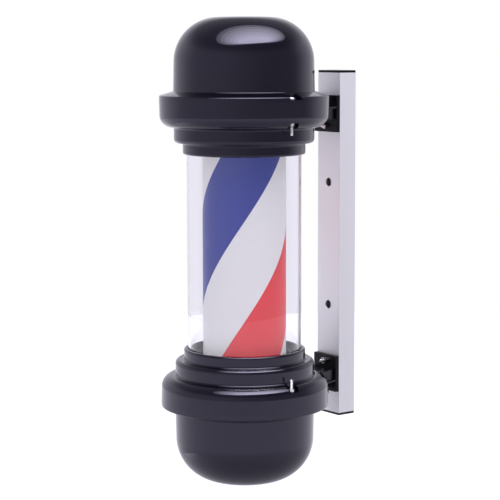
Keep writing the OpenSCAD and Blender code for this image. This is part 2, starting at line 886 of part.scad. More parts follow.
module drum_hub_screw() {
    color("gainsboro") lower_end() along_y(0, -7.9, z_drum + 2.5, 1.5, 7.9 - shaft_r - 0.05);
}

module motor_shaft() {
    color("silver") lower_end() translate([0, 0, z_drum - disc_t - 3])
        cylinder(r = shaft_r, h = z_gear + gear_t + 0.2 - z_drum + disc_t + 3);
}

// ---- Motor ----

module output_gear() {
    color("ivory") lower_end() translate([0, 0, z_gear]) spur_gear(wheel_teeth, gear_t, shaft_r + 0.02);
}

// Double gear between the rotor and the output gear
module idler_gear() {
    color("ivory") lower_end() translate([gear_centres, 0, 0]) difference() {
        union() {
            translate([0, 0, z_gear - 0.3]) rotate(180 / pinion_teeth)
                spur_gear(pinion_teeth, gear_t + 0.8, 0);
            translate([0, 0, z_gear + gear_t + 0.4]) cylinder(r = 1.7, h = z_wheel - z_gear - gear_t);
            translate([0, 0, z_wheel]) spur_gear(wheel_teeth, wheel_t, 0);
        }
        translate([0, 0, z_motor]) cylinder(r = pin_r + running_gap, h = 20);
    }
}

module idler_pin() {
    color("silver") lower_end() translate([gear_centres, 0, z_motor])
        cylinder(r = pin_r, h = z_wheel + wheel_t + 0.7 - z_motor);
}

module motor_rotor() {
    color("dimgray") lower_end() difference() {
        union() {
            translate([0, 0, z_wheel - 0.2]) rotate(180 / pinion_teeth)
                spur_gear(pinion_teeth, wheel_t + 0.4, 0);
            translate([0, 0, z_wheel + wheel_t + 0.1]) cylinder(r = 1.7, h = 2);
            translate([0, 0, z_wheel + wheel_t + 1.4]) cylinder(r = 10, h = 5);
        }
        translate([0, 0, z_motor]) cylinder(r = pin_r + running_gap, h = 30);
    }
}

module rotor_pin() {
    color("silver") lower_end() translate([0, 0, z_wheel - 0.4])
        cylinder(r = pin_r, h = z_motor_top - z_wheel + 0.4);
}

module motor_coil() {
    color("sienna") lower_end() tube(motor_r - 2, 12, z_motor_top - 6.5, z_motor_top - 0.5);
}

module motor_housing() {
    color("silver") lower_end() difference() {
        union() {
            translate([0, 0, z_deck]) cylinder(r = motor_r, h = motor_h);
            translate([-motor_ear_x, -motor_ear_r, z_deck])
                cube([2 * motor_ear_x, 2 * motor_ear_r, motor_floor]);
            for (side = [-1, 1]) translate([side * motor_ear_x, 0, z_deck])
                cylinder(r = motor_ear_r, h = motor_floor);
        }
        translate([0, 0, z_motor]) cylinder(r = motor_r - 1, h = motor_h);
        translate([0, 0, z_deck - 1]) cylinder(r = shaft_r + running_gap, h = 5);
        for (side = [-1, 1]) translate([side * motor_ear_x, 0, z_deck - 1]) cylinder(r = bolt_hole_r, h = 4);
        along_y(0, -motor_r - 1, z_deck + lead_exit_z, motor_lead_r + 0.6, 4);
    }
}

module motor_cover() {
    color("silver") lower_end() translate([0, 0, z_motor_top]) cylinder(r = motor_r, h = 1.5);
}

module motor_screws() {
    color("gainsboro") lower_end() for (side = [-1, 1])
        translate([side * motor_ear_x, 0, z_motor]) pan_screw(bolt_r, 4.5, bolt_head_r, bolt_head_h);
}

// ---- Wiring ----

// Centres of the terminal block's six screws
module at_terminals() {
    for (x = terminal_x, y = terminal_y) translate([x, y, 0]) children();
}

module terminal_block() {
    color("ivory") lower_end() difference() {
        translate([-block[0] / 2, block_y, z_deck]) cube(block);
        at_terminals() translate([0, 0, z_deck + 9]) cylinder(r = 2.2, h = 6);
        for (x = terminal_x) along_y(x, block_y - 1, z_deck + terminal_z, lamp_lead_r + 0.1, block[1] + 2);
    }
}

module terminal_screws() {
    color("goldenrod") lower_end() at_terminals() translate([0, 0, z_deck + 9]) difference() {
        cylinder(r = 2, h = 2.5);
        translate([-2.5, -0.3, 1.7]) cube([5, 0.6, 2]);
    }
}

module lamp_lead() {
    color("white") lead(lamp_route, lamp_lead_r, 8);
}

module motor_lead() {
    color("white") lead(motor_route, motor_lead_r, 8);
}

// ---- Switches ----

// Place of a switch: its seat is at z = 0 and it faces away from the dome
module at_switch(side) {
    lower_end() translate([side * switch_x, 0, z_switch]) children();
}

module switch_body() {
    difference() {
        union() {
            translate([-switch_bezel[0] / 2, -switch_bezel[1] / 2, 0]) cube(switch_bezel);
            translate([-switch_body[0] / 2, -switch_body[1] / 2, -switch_body[2]])
                cube([switch_body[0], switch_body[1], switch_body[2] + 0.2]);
            for (y = [-4, 0, 4]) translate([-2, y - 0.4, -switch_body[2] - 6]) cube([4, 0.8, 6.2]);
        }
        translate([-switch_well[0] / 2, -switch_well[1] / 2, -switch_well[2]])
            cube([switch_well[0], switch_well[1], switch_well[2] + 2]);
        translate([-4.1, 0, rocker_pivot]) rotate([0, 90, 0]) cylinder(r = 0.9 + running_gap, h = 8.2);
    }
}

// Rocker in its off position, with its two pivot stubs
module rocker() {
    translate([0, 0, rocker_pivot]) rotate([-rocker_swing / 2, 0, 0]) {
        rotate([90, 0, 90]) translate([0, 0, -3.6]) linear_extrude(height = 7.2)
            polygon([[-5.3, -0.5], [-5.3, 3.4], [0, 2.4], [5.3, 3.4], [5.3, -0.5], [0, -2.4]]);
        translate([-4, 0, 0]) rotate([0, 90, 0]) cylinder(r = 0.9, h = 8);
    }
}

module light_switch() {
    color("#202024") at_switch(-1) switch_body();
}

module spin_switch() {
    color("#202024") at_switch(1) switch_body();
}

module light_rocker() {
    color("#2b2b30") at_switch(-1) rocker();
}

module spin_rocker() {
    color("#2b2b30") at_switch(1) rocker();
}

// ---- Cable gland ----

module cable_gland() {
    color("#222226") lower_end() difference() {
        union() {
            along_y(0, gland_face - 14, z_gland, gland_r, 16);
            translate([0, gland_face + 1, z_gland]) rotate([-90, 0, 0])
                cylinder(r = gland_hex_r, h = 5, $fn = 6);
            along_y(0, gland_face + 5.9, z_gland, gland_cap_r, 5);
            translate([0, gland_face + 10.9, z_gland]) rotate([-90, 0, 0])
                cylinder(r1 = gland_cap_r, r2 = 5.4, h = 3.1);
        }
        along_y(0, gland_face - 15, z_gland, gland_inner_r, 17);
        along_y(0, gland_face + 1, z_gland, gland_bore_r, 14);
    }
}

module gland_seal() {
    color("#303030") lower_end() difference() {
        along_y(0, gland_face, z_gland, 8.4, 1);
        along_y(0, gland_face - 1, z_gland, gland_r + 0.05, 3);
    }
}

module gland_nut() {
    color("#222226") lower_end() translate([0, gland_face - 12, z_gland]) rotate([-90, 0, 0])
        hex_nut(gland_hex_r, 4, gland_r + 0.05);
}

// ---- Nodes ----

wall_bar();
bar_top_cap();
bar_bottom_cap();
upper_bracket();
lower_bracket();
bracket_bolts();
bracket_nuts();
saddle_screws();
lug_screws();
upper_collar();
lower_collar();
upper_dome();
lower_dome();
collar_bolts();
collar_nuts();
clear_tube();
upper_tube_gasket();
lower_tube_gasket();
upper_dome_seal();
lower_dome_seal();
lamp_plate();
motor_plate();
plate_screws();
lamp_stem();
stem_nuts();
lamp_holder();
holder_contact();
bulb_cap();
bulb_heatsink();
led_board();
bulb_globe();
drum_sleeve();
blue_band();
red_band();
drum_top_disc();
drum_bush();
drum_bottom_disc();
drum_hub_screw();
motor_shaft();
output_gear();
idler_gear();
idler_pin();
motor_rotor();
rotor_pin();
motor_coil();
motor_housing();
motor_cover();
motor_screws();
terminal_block();
terminal_screws();
light_switch();
spin_switch();
light_rocker();
spin_rocker();
cable_gland();
gland_seal();
gland_nut();
lamp_lead();
motor_lead();
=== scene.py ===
"""Looks of the wall-mounted barber pole light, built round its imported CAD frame."""
import json
import math

import bmesh
import bpy
from mathutils import Matrix, Vector


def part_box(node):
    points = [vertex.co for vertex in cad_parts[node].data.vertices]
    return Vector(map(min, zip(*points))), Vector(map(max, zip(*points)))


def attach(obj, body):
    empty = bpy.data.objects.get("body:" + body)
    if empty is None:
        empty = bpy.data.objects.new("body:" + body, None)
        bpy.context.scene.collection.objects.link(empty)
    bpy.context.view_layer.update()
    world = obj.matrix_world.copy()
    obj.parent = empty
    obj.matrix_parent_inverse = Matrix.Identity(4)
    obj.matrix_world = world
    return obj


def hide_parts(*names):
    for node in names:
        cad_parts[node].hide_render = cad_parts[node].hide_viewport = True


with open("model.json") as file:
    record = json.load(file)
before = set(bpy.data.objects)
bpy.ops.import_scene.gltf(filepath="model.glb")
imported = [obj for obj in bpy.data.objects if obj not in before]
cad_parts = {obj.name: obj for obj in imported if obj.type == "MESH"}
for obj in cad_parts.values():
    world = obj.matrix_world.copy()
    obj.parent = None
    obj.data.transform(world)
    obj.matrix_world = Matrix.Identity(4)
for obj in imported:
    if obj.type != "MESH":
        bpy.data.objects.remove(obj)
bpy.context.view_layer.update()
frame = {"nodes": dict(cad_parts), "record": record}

MM = 0.001

# ---- Sizes read from the CAD model, in millimetres ----


def corners(node):
    """Lowest and highest corner of a CAD node's box."""
    low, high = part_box(node)
    return low / MM, high / MM


TUBE_LOW, TUBE_HIGH = corners("clear_tube")
COLLAR_LOW, COLLAR_HIGH = corners("upper_collar")
DOME_HIGH = corners("upper_dome")[1]
SLEEVE_HIGH = corners("drum_sleeve")[1]
BAND_HIGH = corners("blue_band")[1]
BAR_LOW, BAR_HIGH = corners("wall_bar")
CAP_LOW, CAP_HIGH = corners("bar_top_cap")
BRACKET_LOW, BRACKET_HIGH = corners("upper_bracket")

AXIS_Y = (TUBE_LOW.y + TUBE_HIGH.y) / 2
TUBE_R = TUBE_HIGH.x
Z_TUBE = TUBE_HIGH.z
Z_RIM = COLLAR_LOW.z
Z_SEAM = COLLAR_HIGH.z
COLLAR_R = COLLAR_HIGH.x
BRIM_R = DOME_HIGH.x
Z_TOP = DOME_HIGH.z
LUG_Y = DOME_HIGH.y - AXIS_Y
BAR_FRONT = BAR_LOW.y - AXIS_Y
DRUM_R = BAND_HIGH.x

# ---- Sizes that the boxes don't give, as the CAD model has them ----

TUBE_WALL, TUBE_CHAMFER = 3.0, 0.4
POCKET_R, RIM_CHAMFER = 67.3, 0.4
NECK_R, NECK_H, NECK_EDGE_R = 71.7, 13.2, 2.4
STEP_R, STEP_H, STEP_EDGE_R = 82.0, 18.5, 5.0
ROOT_R = 2.0
SHOULDER_R = 14.0
BRIM_T, BRIM_SLOPE, BRIM_EDGE_R, FOOT_R = 6.2, 17.0, 2.0, 1.0
SHELL_WALL = 2.8
SHELF_R, SHELF_Z, SHELF_T = 60.0, 130.0, 3.0
DOME_BASE_R, DOME_SIDE_R = 82.4, 81.7
DOME_CORNER_R, CROWN_R = 51.7, 700.0
BOLT_CIRCLE = 90.2
BOLT_R, BOLT_PITCH = 2.0, 0.7
BOLT_HOLE_R = BOLT_R + 0.2
COLLAR_BOLT_L, LUG_SCREW_L, PLATE_BOLT_L = 40, 20, 14
BOLT_HEAD_R, BOLT_HEAD_H = 4.0, 2.8
NUT_R, NUT_H = 4.04, 3.2
NUT_SEAT_Z = 153.5
NUT_POCKET_R, NUT_POCKET_WALL, NUT_POCKET_H = 8.0, 2, 10.5
POST_R, POST_INSET = 5.6, 0.2
OPEN_POCKET_R, CLOSED_POCKET_R, HEAD_SEAT_DEPTH = 8.5, 7.4, 2.6
LUG_W, LUG_SCREW_Y = 42.0, 105.0
LUG_ROOT_Y, LUG_CORNER_R, LUG_EDGE_R = 86, 3.0, 0.7
LUG_DROP, LUG_RISE, LUG_SEAT_DEPTH = 4.8, 3.6, 0.6
VENT_W, VENT_H, VENT_PITCH, VENT_Z = 6.0, 16.0, 12.0, 215.0
BAR_WALL = 1.5
ACCESS_R, WALL_SCREW_R = 5.25, 2.75
WALL_SCREW_Z = 75.0
CABLE_HOLE_X, CABLE_HOLE_R = -10, 3.5
PLUG_H, PLUG_WALL, PLUG_GAP = 10, 1.6, 0.2
BRACKET_Z, ARM_H, PLATE_T, ARM_W = 159.5, 15.0, 5.0, 66.0
ARM_FLANGE_T, ARM_RECESS = 2.0, 3.0
SADDLE_GAP, ARM_BOSS_R, ARM_SCREW_DEPTH = 0.1, 6, 20.4
PLATE_BOLT_Z = (143.8, 172.8)
DRUM_H, SLEEVE_WALL, FILM_T = 244.0, 1.5, 0.35
STRIPE_LEAD = 464.0
BLUE_START = -156.9
BAND_ARC = 90.0
FILM_COLUMNS, FILM_ROWS = 60, 122
SWITCH_X, SWITCH_OPENING = 7.5, (9, 14)
SWITCH_SEAT_DEPTH, SWITCH_SEAT_D, SWITCH_SEAT_RIM = 3.6, 19, 4
GLAND_Z, GLAND_FACE = 218.0, 84.0
GLAND_BOSS_R, GLAND_BORE_R = 11, 6.1

Z_NECK = Z_RIM + NECK_H
Z_STEP = Z_NECK + STEP_H
Z_BRIM = Z_SEAM + BRIM_T
ARM_ROOT = BAR_FRONT - PLATE_T

# How far a cutting shape reaches past the surface that it cuts.
PAST = 1


# ---- Geometry helpers: points are in millimetres, meshes in metres ----


def arc(cx, cz, radius, start, stop, steps):
    """Points of an arc in a profile, angles in degrees."""
    angles = [math.radians(start + (stop - start) * i / steps) for i in range(steps + 1)]
    return [(cx + radius * math.cos(t), cz + radius * math.sin(t)) for t in angles]


def lathe(profile, segments=192):
    """Vertices and faces of a closed (radius, height) outline turned round the axis."""
    verts, rings = [], []
    for radius, height in profile:
        if radius < 1e-6:
            rings.append([len(verts)])
            verts.append((0.0, 0.0, height))
            continue
        rings.append(list(range(len(verts), len(verts) + segments)))
        for i in range(segments):
            t = 2 * math.pi * i / segments
            verts.append((radius * math.cos(t), radius * math.sin(t), height))
    faces = []
    for a, b in zip(rings, rings[1:] + rings[:1]):
        if len(a) == 1 and len(b) == 1:
            continue
        for i in range(segments):
            j = (i + 1) % segments
            if len(a) == 1:
                faces.append((a[0], b[j], b[i]))
            elif len(b) == 1:
                faces.append((a[i], a[j], b[0]))
            else:
                faces.append((a[i], a[j], b[j], b[i]))
    return verts, faces


def prism(outline, low, high):
    """Vertices and faces of an (x, y) outline, counter-clockwise, between two heights."""
    n = len(outline)
    verts = [(x, y, low) for x, y in outline] + [(x, y, high) for x, y in outline]
    faces = [tuple(reversed(range(n))), tuple(range(n, 2 * n))]
    faces += [(i, (i + 1) % n, n + (i + 1) % n, n + i) for i in range(n)]
    return verts, faces


def rounded_rectangle(width, depth, radius, steps=6):
    """Outline centred on the origin, counter-clockwise."""
    x, y = width / 2 - radius, depth / 2 - radius
    centres = ((x, y, 0), (-x, y, 90), (-x, -y, 180), (x, -y, 270))
    return [p for cx, cy, a in centres for p in arc(cx, cy, radius, a, a + 90, steps)]


def cylinder(radius, low, high, segments=64):
    circle = arc(0, 0, radius, 0, 360 * (segments - 1) / segments, segments - 1)
    return prism(circle, low, high)


def moved(shape, matrix):
    """Shape under a matrix, its faces turned back outward if the matrix mirrors it."""
    verts, faces = shape
    flip = matrix.determinant() < 0
    faces = [tuple(reversed(f)) for f in faces] if flip else faces
    return [tuple(matrix @ Vector(v)) for v in verts], faces


def joined(*shapes):
    verts, faces = [], []
    for more_verts, more_faces in shapes:
        start = len(verts)
        verts += more_verts
        faces += [tuple(start + i for i in f) for f in more_faces]
    return verts, faces


def shift(x, y, z):
    return Matrix.Translation((x, y, z))


def turn(degrees, axis):
    return Matrix.Rotation(math.radians(degrees), 4, axis)


ALONG_Y = turn(-90, "X")
LAMP = shift(0, AXIS_Y, 0)
UPPER = LAMP
LOWER = LAMP @ Matrix.Scale(-1, 4, (0, 0, 1))
ENDS = {"upper": UPPER, "lower": LOWER}


def new_object(name, shape):
    """Object made from a shape in millimetres, with its doubled points merged."""
    mesh = bpy.data.meshes.new(name)
    verts, faces = shape
    mesh.from_pydata([Vector(v) * MM for v in verts], [], faces)
    bm = bmesh.new()
    bm.from_mesh(mesh)
    bmesh.ops.remove_doubles(bm, verts=bm.verts, dist=1e-7)
    bmesh.ops.recalc_face_normals(bm, faces=bm.faces)
    bm.to_mesh(mesh)
    bm.free()
    obj = bpy.data.objects.new(name, mesh)
    bpy.context.scene.collection.objects.link(obj)
    return obj


def apply_modifiers(obj):
    bpy.context.view_layer.update()
    graph = bpy.context.evaluated_depsgraph_get()
    mesh = bpy.data.meshes.new_from_object(obj.evaluated_get(graph))
    old = obj.data
    obj.modifiers.clear()
    obj.data = mesh
    bpy.data.meshes.remove(old)


def combine(obj, shape, operation):
    """Adds a shape to an object, or cuts it away, and leaves one clean mesh."""
    tool = new_object("tool", shape)
    modifier = obj.modifiers.new("combine", "BOOLEAN")
    modifier.operation = operation
    modifier.solver = "EXACT"
    modifier.object = tool
    apply_modifiers(obj)
    old = tool.data
    bpy.data.objects.remove(tool)
    bpy.data.meshes.remove(old)


def cut(obj, *shapes):
    for shape in shapes:
        combine(obj, shape, "DIFFERENCE")


def add(obj, *shapes):
    for shape in shapes:
        combine(obj, shape, "UNION")


def mesh_shape(obj):
    """Takes an object's mesh out as vertices and faces, and removes the object."""
    verts = [tuple(v.co / MM) for v in obj.data.vertices]
    faces = [tuple(p.vertices) for p in obj.data.polygons]
    old = obj.data
    bpy.data.objects.remove(obj)
    bpy.data.meshes.remove(old)
    return verts, faces


def soften_edges(obj, width, segments=3, limit=40):
    """Rounds the edges that are sharper than a limit in degrees."""
    modifier = obj.modifiers.new("soften", "BEVEL")
    modifier.width = width * MM
    modifier.segments = segments
    modifier.limit_method = "ANGLE"
    modifier.angle_limit = math.radians(limit)
    modifier.harden_normals = False
    apply_modifiers(obj)


def shade(obj, angle=32):
    """Smooth shading that stays sharp at edges over an angle in degrees."""
    mesh = obj.data
    mesh.polygons.foreach_set("use_smooth", [True] * len(mesh.polygons))
    mesh.set_sharp_from_angle(angle=math.radians(angle))
    modifier = obj.modifiers.new("weighted", "WEIGHTED_NORMAL")
    modifier.mode = "FACE_AREA"
    modifier.keep_sharp = True
    apply_modifiers(obj)


def finished(obj, body, slot, nodes=(), angle=32):
    """Gives a piece its shading, material and body, and hides the CAD nodes it stands for."""
    shade(obj, angle)
    if not obj.data.materials:
        obj.data.materials.append(MATERIALS[slot])
    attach(obj, body)
    if nodes:
        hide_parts(*nodes)
    return obj


# ---- Material helpers ----

RANGE_SOCKETS = ("From Min", "From Max", "To Min", "To Max")


class Paint:
    """A Principled material whose numbers sit on the shader's own sockets."""

    def __init__(self, name, color, roughness, **inputs):
        self.material = bpy.data.materials.new(name)
        self.material.use_nodes = True
        self.nodes = self.material.node_tree.nodes
        self.links = self.material.node_tree.links
        self.shader = self.nodes["Principled BSDF"]
        self.shader.inputs["Base Color"].default_value = (*color, 1)
        self.shader.inputs["Roughness"].default_value = roughness
        for key, value in inputs.items():
            self.shader.inputs[key.replace("_", " ")].default_value = value
        self.where = self.nodes.new("ShaderNodeTexCoord").outputs["Object"]
        self.normal = None

    def mapped(self, scale):
        """Object coordinates stretched by a scale per axis."""
        node = self.nodes.new("ShaderNodeMapping")
        node.inputs["Scale"].default_value = scale
        self.links.new(self.where, node.inputs["Vector"])
        return node.outputs["Vector"]

    def noise(self, scale, detail=2.0, stretch=None, roughness=0.5):
        node = self.nodes.new("ShaderNodeTexNoise")
        node.inputs["Scale"].default_value = scale
        node.inputs["Detail"].default_value = detail
        node.inputs["Roughness"].default_value = roughness
        self.links.new(self.mapped(stretch) if stretch else self.where, node.inputs["Vector"])
        return node.outputs["Fac"]

    def ranged(self, value, *limits):
        node = self.nodes.new("ShaderNodeMapRange")
        for key, number in zip(RANGE_SOCKETS, limits):
            node.inputs[key].default_value = number
        self.links.new(value, node.inputs["Value"])
        return node.outputs["Result"]

    def rough(self, value, *limits):
        self.links.new(self.ranged(value, *limits), self.shader.inputs["Roughness"])
        return self

    def tinted(self, value, dark, light):
        """Base colour that varies between two colours."""
        node = self.nodes.new("ShaderNodeMix")
        node.data_type = "RGBA"
        node.inputs[6].default_value = (*dark, 1)
        node.inputs[7].default_value = (*light, 1)
        self.links.new(value, node.inputs[0])
        self.links.new(node.outputs[2], self.shader.inputs["Base Color"])
        return self

    def bump(self, value, distance, strength=1.0):
        """Adds a layer of relief, distance in millimetres."""
        node = self.nodes.new("ShaderNodeBump")
        node.inputs["Strength"].default_value = strength
        node.inputs["Distance"].default_value = distance * MM
        self.links.new(value, node.inputs["Height"])
        if self.normal:
            self.links.new(self.normal, node.inputs["Normal"])
        self.normal = node.outputs["Normal"]
        self.links.new(self.normal, self.shader.inputs["Normal"])
        return self


# ---- Materials ----


def glossy_abs():
    """Black moulded caps: a polished skin with faint ripples and fine dust."""
    paint = Paint("glossy_abs", (0.006, 0.0055, 0.0125), 0.12, IOR=1.52)
    paint.shader.inputs["Specular Tint"].default_value = (0.84, 0.81, 1.0, 1)
    paint.rough(paint.noise(26, 4), 0.3, 0.7, 0.06, 0.11)
    paint.bump(paint.noise(38, 1), 0.10, 0.25)
    return paint.bump(paint.noise(900, 2), 0.006, 0.5).material


def satin_nylon():
    """Black glass-filled nylon with a fine grain."""
    paint = Paint("satin_nylon", (0.006, 0.0058, 0.009), 0.3, IOR=1.25)
    paint.rough(paint.noise(60, 3), 0.3, 0.7, 0.26, 0.36)
    return paint.bump(paint.noise(1800, 2), 0.02, 0.6).material


def anodised_bar():
    """Satin aluminium section with fine lines along its length."""
    paint = Paint("anodised_bar", (0.86, 0.85, 0.875), 0.5, Metallic=0.5)
    lines = paint.noise(1.0, 3, (1500, 1500, 9))
    paint.rough(lines, 0.3, 0.7, 0.5, 0.58)
    paint.tinted(paint.noise(14, 3), (0.85, 0.845, 0.87), (0.88, 0.875, 0.90))
    return paint.bump(lines, 0.004, 0.5).material


def bright_zinc():
    paint = Paint("bright_zinc", (0.80, 0.79, 0.81), 0.2, Metallic=1.0)
    paint.rough(paint.noise(700, 3), 0.3, 0.7, 0.14, 0.3)
    return paint.bump(paint.noise(1500, 2), 0.004, 0.4).material


def clear_acrylic():
    """Extruded clear tube: polished, with a trace of draw lines along it."""
    paint = Paint("clear_acrylic", (0.985, 0.99, 0.995), 0.0, IOR=1.49)
    paint.shader.inputs["Transmission Weight"].default_value = 1.0
    return paint.bump(paint.noise(1.0, 1, (60, 60, 2)), 0.02, 0.02).material


def black_rubber():
    paint = Paint("black_rubber", (0.02, 0.02, 0.021), 0.7, IOR=1.5)
    paint.rough(paint.noise(120, 3), 0.3, 0.7, 0.6, 0.8)
    return paint.bump(paint.noise(2500, 3), 0.03, 0.6).material


def white_powder_coat():
    paint = Paint("white_powder_coat", (0.8, 0.8, 0.79), 0.45, IOR=1.5)
    paint.rough(paint.noise(90, 3), 0.3, 0.7, 0.4, 0.52)
    return paint.bump(paint.noise(700, 3), 0.03, 0.6).material


def ivory_plastic():
    paint = Paint("ivory_plastic", (0.78, 0.74, 0.62), 0.38, IOR=1.5)
    paint.tinted(paint.noise(45, 3), (0.74, 0.70, 0.58), (0.80, 0.76, 0.65))
    return paint.bump(paint.noise(1600, 2), 0.01, 0.5).material


def brass_contact():
    paint = Paint("brass_contact", (0.75, 0.56, 0.26), 0.28, Metallic=1.0)
    paint.rough(paint.noise(400, 3), 0.3, 0.7, 0.2, 0.38)
    return paint.bump(paint.noise(1500, 2), 0.006, 0.4).material


def opal_globe():
    paint = Paint("opal_globe", (0.9, 0.9, 0.89), 0.4, IOR=1.5)
    paint.rough(paint.noise(60, 2), 0.3, 0.7, 0.34, 0.46)
    return paint.bump(paint.noise(1200, 2), 0.006, 0.4).material


def printed_film(name, dark, light):
    """Satin printed film: slight mottling of the ink, a soft ripple from the winding, and a faint glow
    in the lighter ink colour that is painted light, brightening the drum.
    """
    # The emission is painted light: the film glows a little, so the drum reads brighter than the lamps
    # alone make it.
    paint = Paint(name, light, 0.38, IOR=1.48, Emission_Color=(*light, 1), Emission_Strength=0.23)
    paint.tinted(paint.noise(70, 4), dark, light)
    paint.rough(paint.noise(50, 3), 0.3, 0.7, 0.33, 0.43)
    paint.bump(paint.noise(22, 1), 0.05, 0.3)
    return paint.bump(paint.noise(1700, 2), 0.005, 0.4).material


def ferrite():
    paint = Paint("ferrite", (0.05, 0.05, 0.053), 0.6, IOR=1.8)
    paint.rough(paint.noise(200, 3), 0.3, 0.7, 0.5, 0.7)
    return paint.bump(paint.noise(1400, 4), 0.03, 0.6).material


def coil_copper():
    paint = Paint("coil_copper", (0.55, 0.22, 0.09), 0.35, Metallic=1.0)
    paint.rough(paint.noise(300, 3), 0.3, 0.7, 0.28, 0.42)
    return paint.bump(paint.noise(1.0, 1, (20, 20, 4000)), 0.05, 0.7).material


def lead_sheath():
    paint = Paint("lead_sheath", (0.8, 0.8, 0.78), 0.5, IOR=1.5)
    paint.rough(paint.noise(150, 3), 0.3, 0.7, 0.42, 0.58)
    return paint.bump(paint.noise(900, 2), 0.01, 0.5).material


MATERIALS = {
    "black_abs": glossy_abs(),
    "black_nylon": satin_nylon(),
    "bar_aluminium": anodised_bar(),
    "bright_zinc": bright_zinc(),
    "clear_acrylic": clear_acrylic(),
    "black_rubber": black_rubber(),
    "white_steel": white_powder_coat(),
    "ivory_plastic": ivory_plastic(),
    "brass_contact": brass_contact(),
    "frosted_globe": opal_globe(),
    "drum_white": printed_film("drum_white", (0.86, 0.845, 0.875), (0.90, 0.885, 0.915)),
    "stripe_blue": printed_film("stripe_blue", (0.024, 0.043, 0.31), (0.030, 0.051, 0.34)),
    "stripe_red": printed_film("stripe_red", (0.84, 0.022, 0.036), (0.90, 0.032, 0.048)),
    "ferrite": ferrite(),
    "coil_copper": coil_copper(),
    "lead_sheath": lead_sheath(),
}

for part in frame["record"]["subparts"]:
    for material_slot in frame["nodes"][part["node"]].material_slots:
        material_slot.material = MATERIALS[part["material_slot"]]


# ---- Collars ----


def collar_profile():
    """Outline of a collar: rim, neck ring, step ring, rounded shoulder, wall and hollow."""
    shoulder_x = COLLAR_R - SHOULDER_R
    shoulder_z = Z_STEP + SHOULDER_R
    inner = COLLAR_R - SHELL_WALL
    step_inner = STEP_R - SHELL_WALL
    outside = (
        [(POCKET_R, Z_RIM + RIM_CHAMFER), (POCKET_R + RIM_CHAMFER, Z_RIM)]
        + arc(NECK_R - NECK_EDGE_R, Z_RIM + NECK_EDGE_R, NECK_EDGE_R, -90, 0, 12)
        + arc(NECK_R + ROOT_R, Z_NECK - ROOT_R, ROOT_R, 180, 90, 10)
        + arc(STEP_R - STEP_EDGE_R, Z_NECK + STEP_EDGE_R, STEP_EDGE_R, -90, 0, 20)
        + arc(STEP_R + ROOT_R, Z_STEP - ROOT_R, ROOT_R, 180, 90, 10)
        + arc(shoulder_x, shoulder_z, SHOULDER_R, -90, 0, 36)
        + [(BRIM_R, Z_SEAM)]
    )
    inside = (
        [(inner, Z_SEAM)]
        + arc(shoulder_x, shoulder_z, SHOULDER_R - SHELL_WALL, 0, -90, 12)
        + [(step_inner, Z_STEP + SHELL_WALL), (step_inner, SHELF_Z + SHELF_T)]
        + [(SHELF_R, SHELF_Z + SHELF_T), (SHELF_R, SHELF_Z), (POCKET_R, SHELF_Z)]
    )
    return outside + inside


def post_limit():
    """Outline a little inside the collar's skin, which the bolt posts are kept within."""
    neck, step, wall = NECK_R - POST_INSET, STEP_R - POST_INSET, COLLAR_R - POST_INSET
    return (
        [(SHELF_R, Z_RIM + 1), (neck, Z_RIM + 1), (neck, Z_NECK + POST_INSET)]
        + [(step, Z_NECK + POST_INSET), (step, Z_STEP + POST_INSET)]
        + arc(COLLAR_R - SHOULDER_R, Z_STEP + SHOULDER_R, SHOULDER_R - POST_INSET, -90, 0, 36)
        + [(wall, Z_SEAM - 0.1), (SHELF_R, Z_SEAM - 0.1)]
    )


def bolt_post(at_bolt):
    """Block round a nut pocket, with a thinner post above it up to the brim."""
    block = cylinder(NUT_POCKET_R + NUT_POCKET_WALL, Z_STEP + 1, Z_STEP + NUT_POCKET_H)
    post = new_object("post", moved(block, at_bolt))
    add(post, moved(cylinder(POST_R, Z_STEP + (NUT_POCKET_H - PAST), Z_SEAM + PAST), at_bolt))
    combine(post, lathe(post_limit(), 256), "INTERSECT")
    return mesh_shape(post)


def collar(end, matrix):
    """Collar shell with the two nut pockets in its shoulder."""
    obj = new_object(f"{end}_collar_shell", moved(lathe(collar_profile(), 256), matrix))
    for side in (-1, 1):
        at_bolt = shift(side * BOLT_CIRCLE, 0, 0)
        add(obj, moved(bolt_post(at_bolt), matrix))
        cut(obj, moved(cylinder(NUT_POCKET_R, Z_STEP - 4, NUT_SEAT_Z), matrix @ at_bolt))
        cut(obj, moved(cylinder(BOLT_HOLE_R, Z_STEP, Z_SEAM + PAST, 32), matrix @ at_bolt))
    return finished(obj, "lamp_frame", "black_abs", [f"{end}_collar"])


# ---- Domes ----


def dome_curve(inset, steps):
    """Rounded corner and shallow crown of a dome, from its side to the axis."""
    corner_x = DOME_SIDE_R - DOME_CORNER_R
    crown_z = Z_TOP - CROWN_R
    tilt = math.asin(corner_x / (CROWN_R - DOME_CORNER_R))
    corner_z = crown_z + (CROWN_R - DOME_CORNER_R) * math.cos(tilt)
    tilt_degrees = math.degrees(tilt)
    corner = arc(corner_x, corner_z, DOME_CORNER_R - inset, 0, 90 - tilt_degrees, steps)
    crown = arc(0, crown_z, CROWN_R - inset, 90 - tilt_degrees, 90, 6)[1:-1]
    return corner + crown + [(0, Z_TOP - inset)]


def brim_slope_z(radius):
    """Height of the brim's sloping top at a radius."""
    slope = math.radians(BRIM_SLOPE)
    edge_x = BRIM_R + BRIM_EDGE_R * (math.sin(slope) - 1)
    edge_z = Z_BRIM + BRIM_EDGE_R * (math.cos(slope) - 1)
    return edge_z + (edge_x - radius) * math.tan(slope)


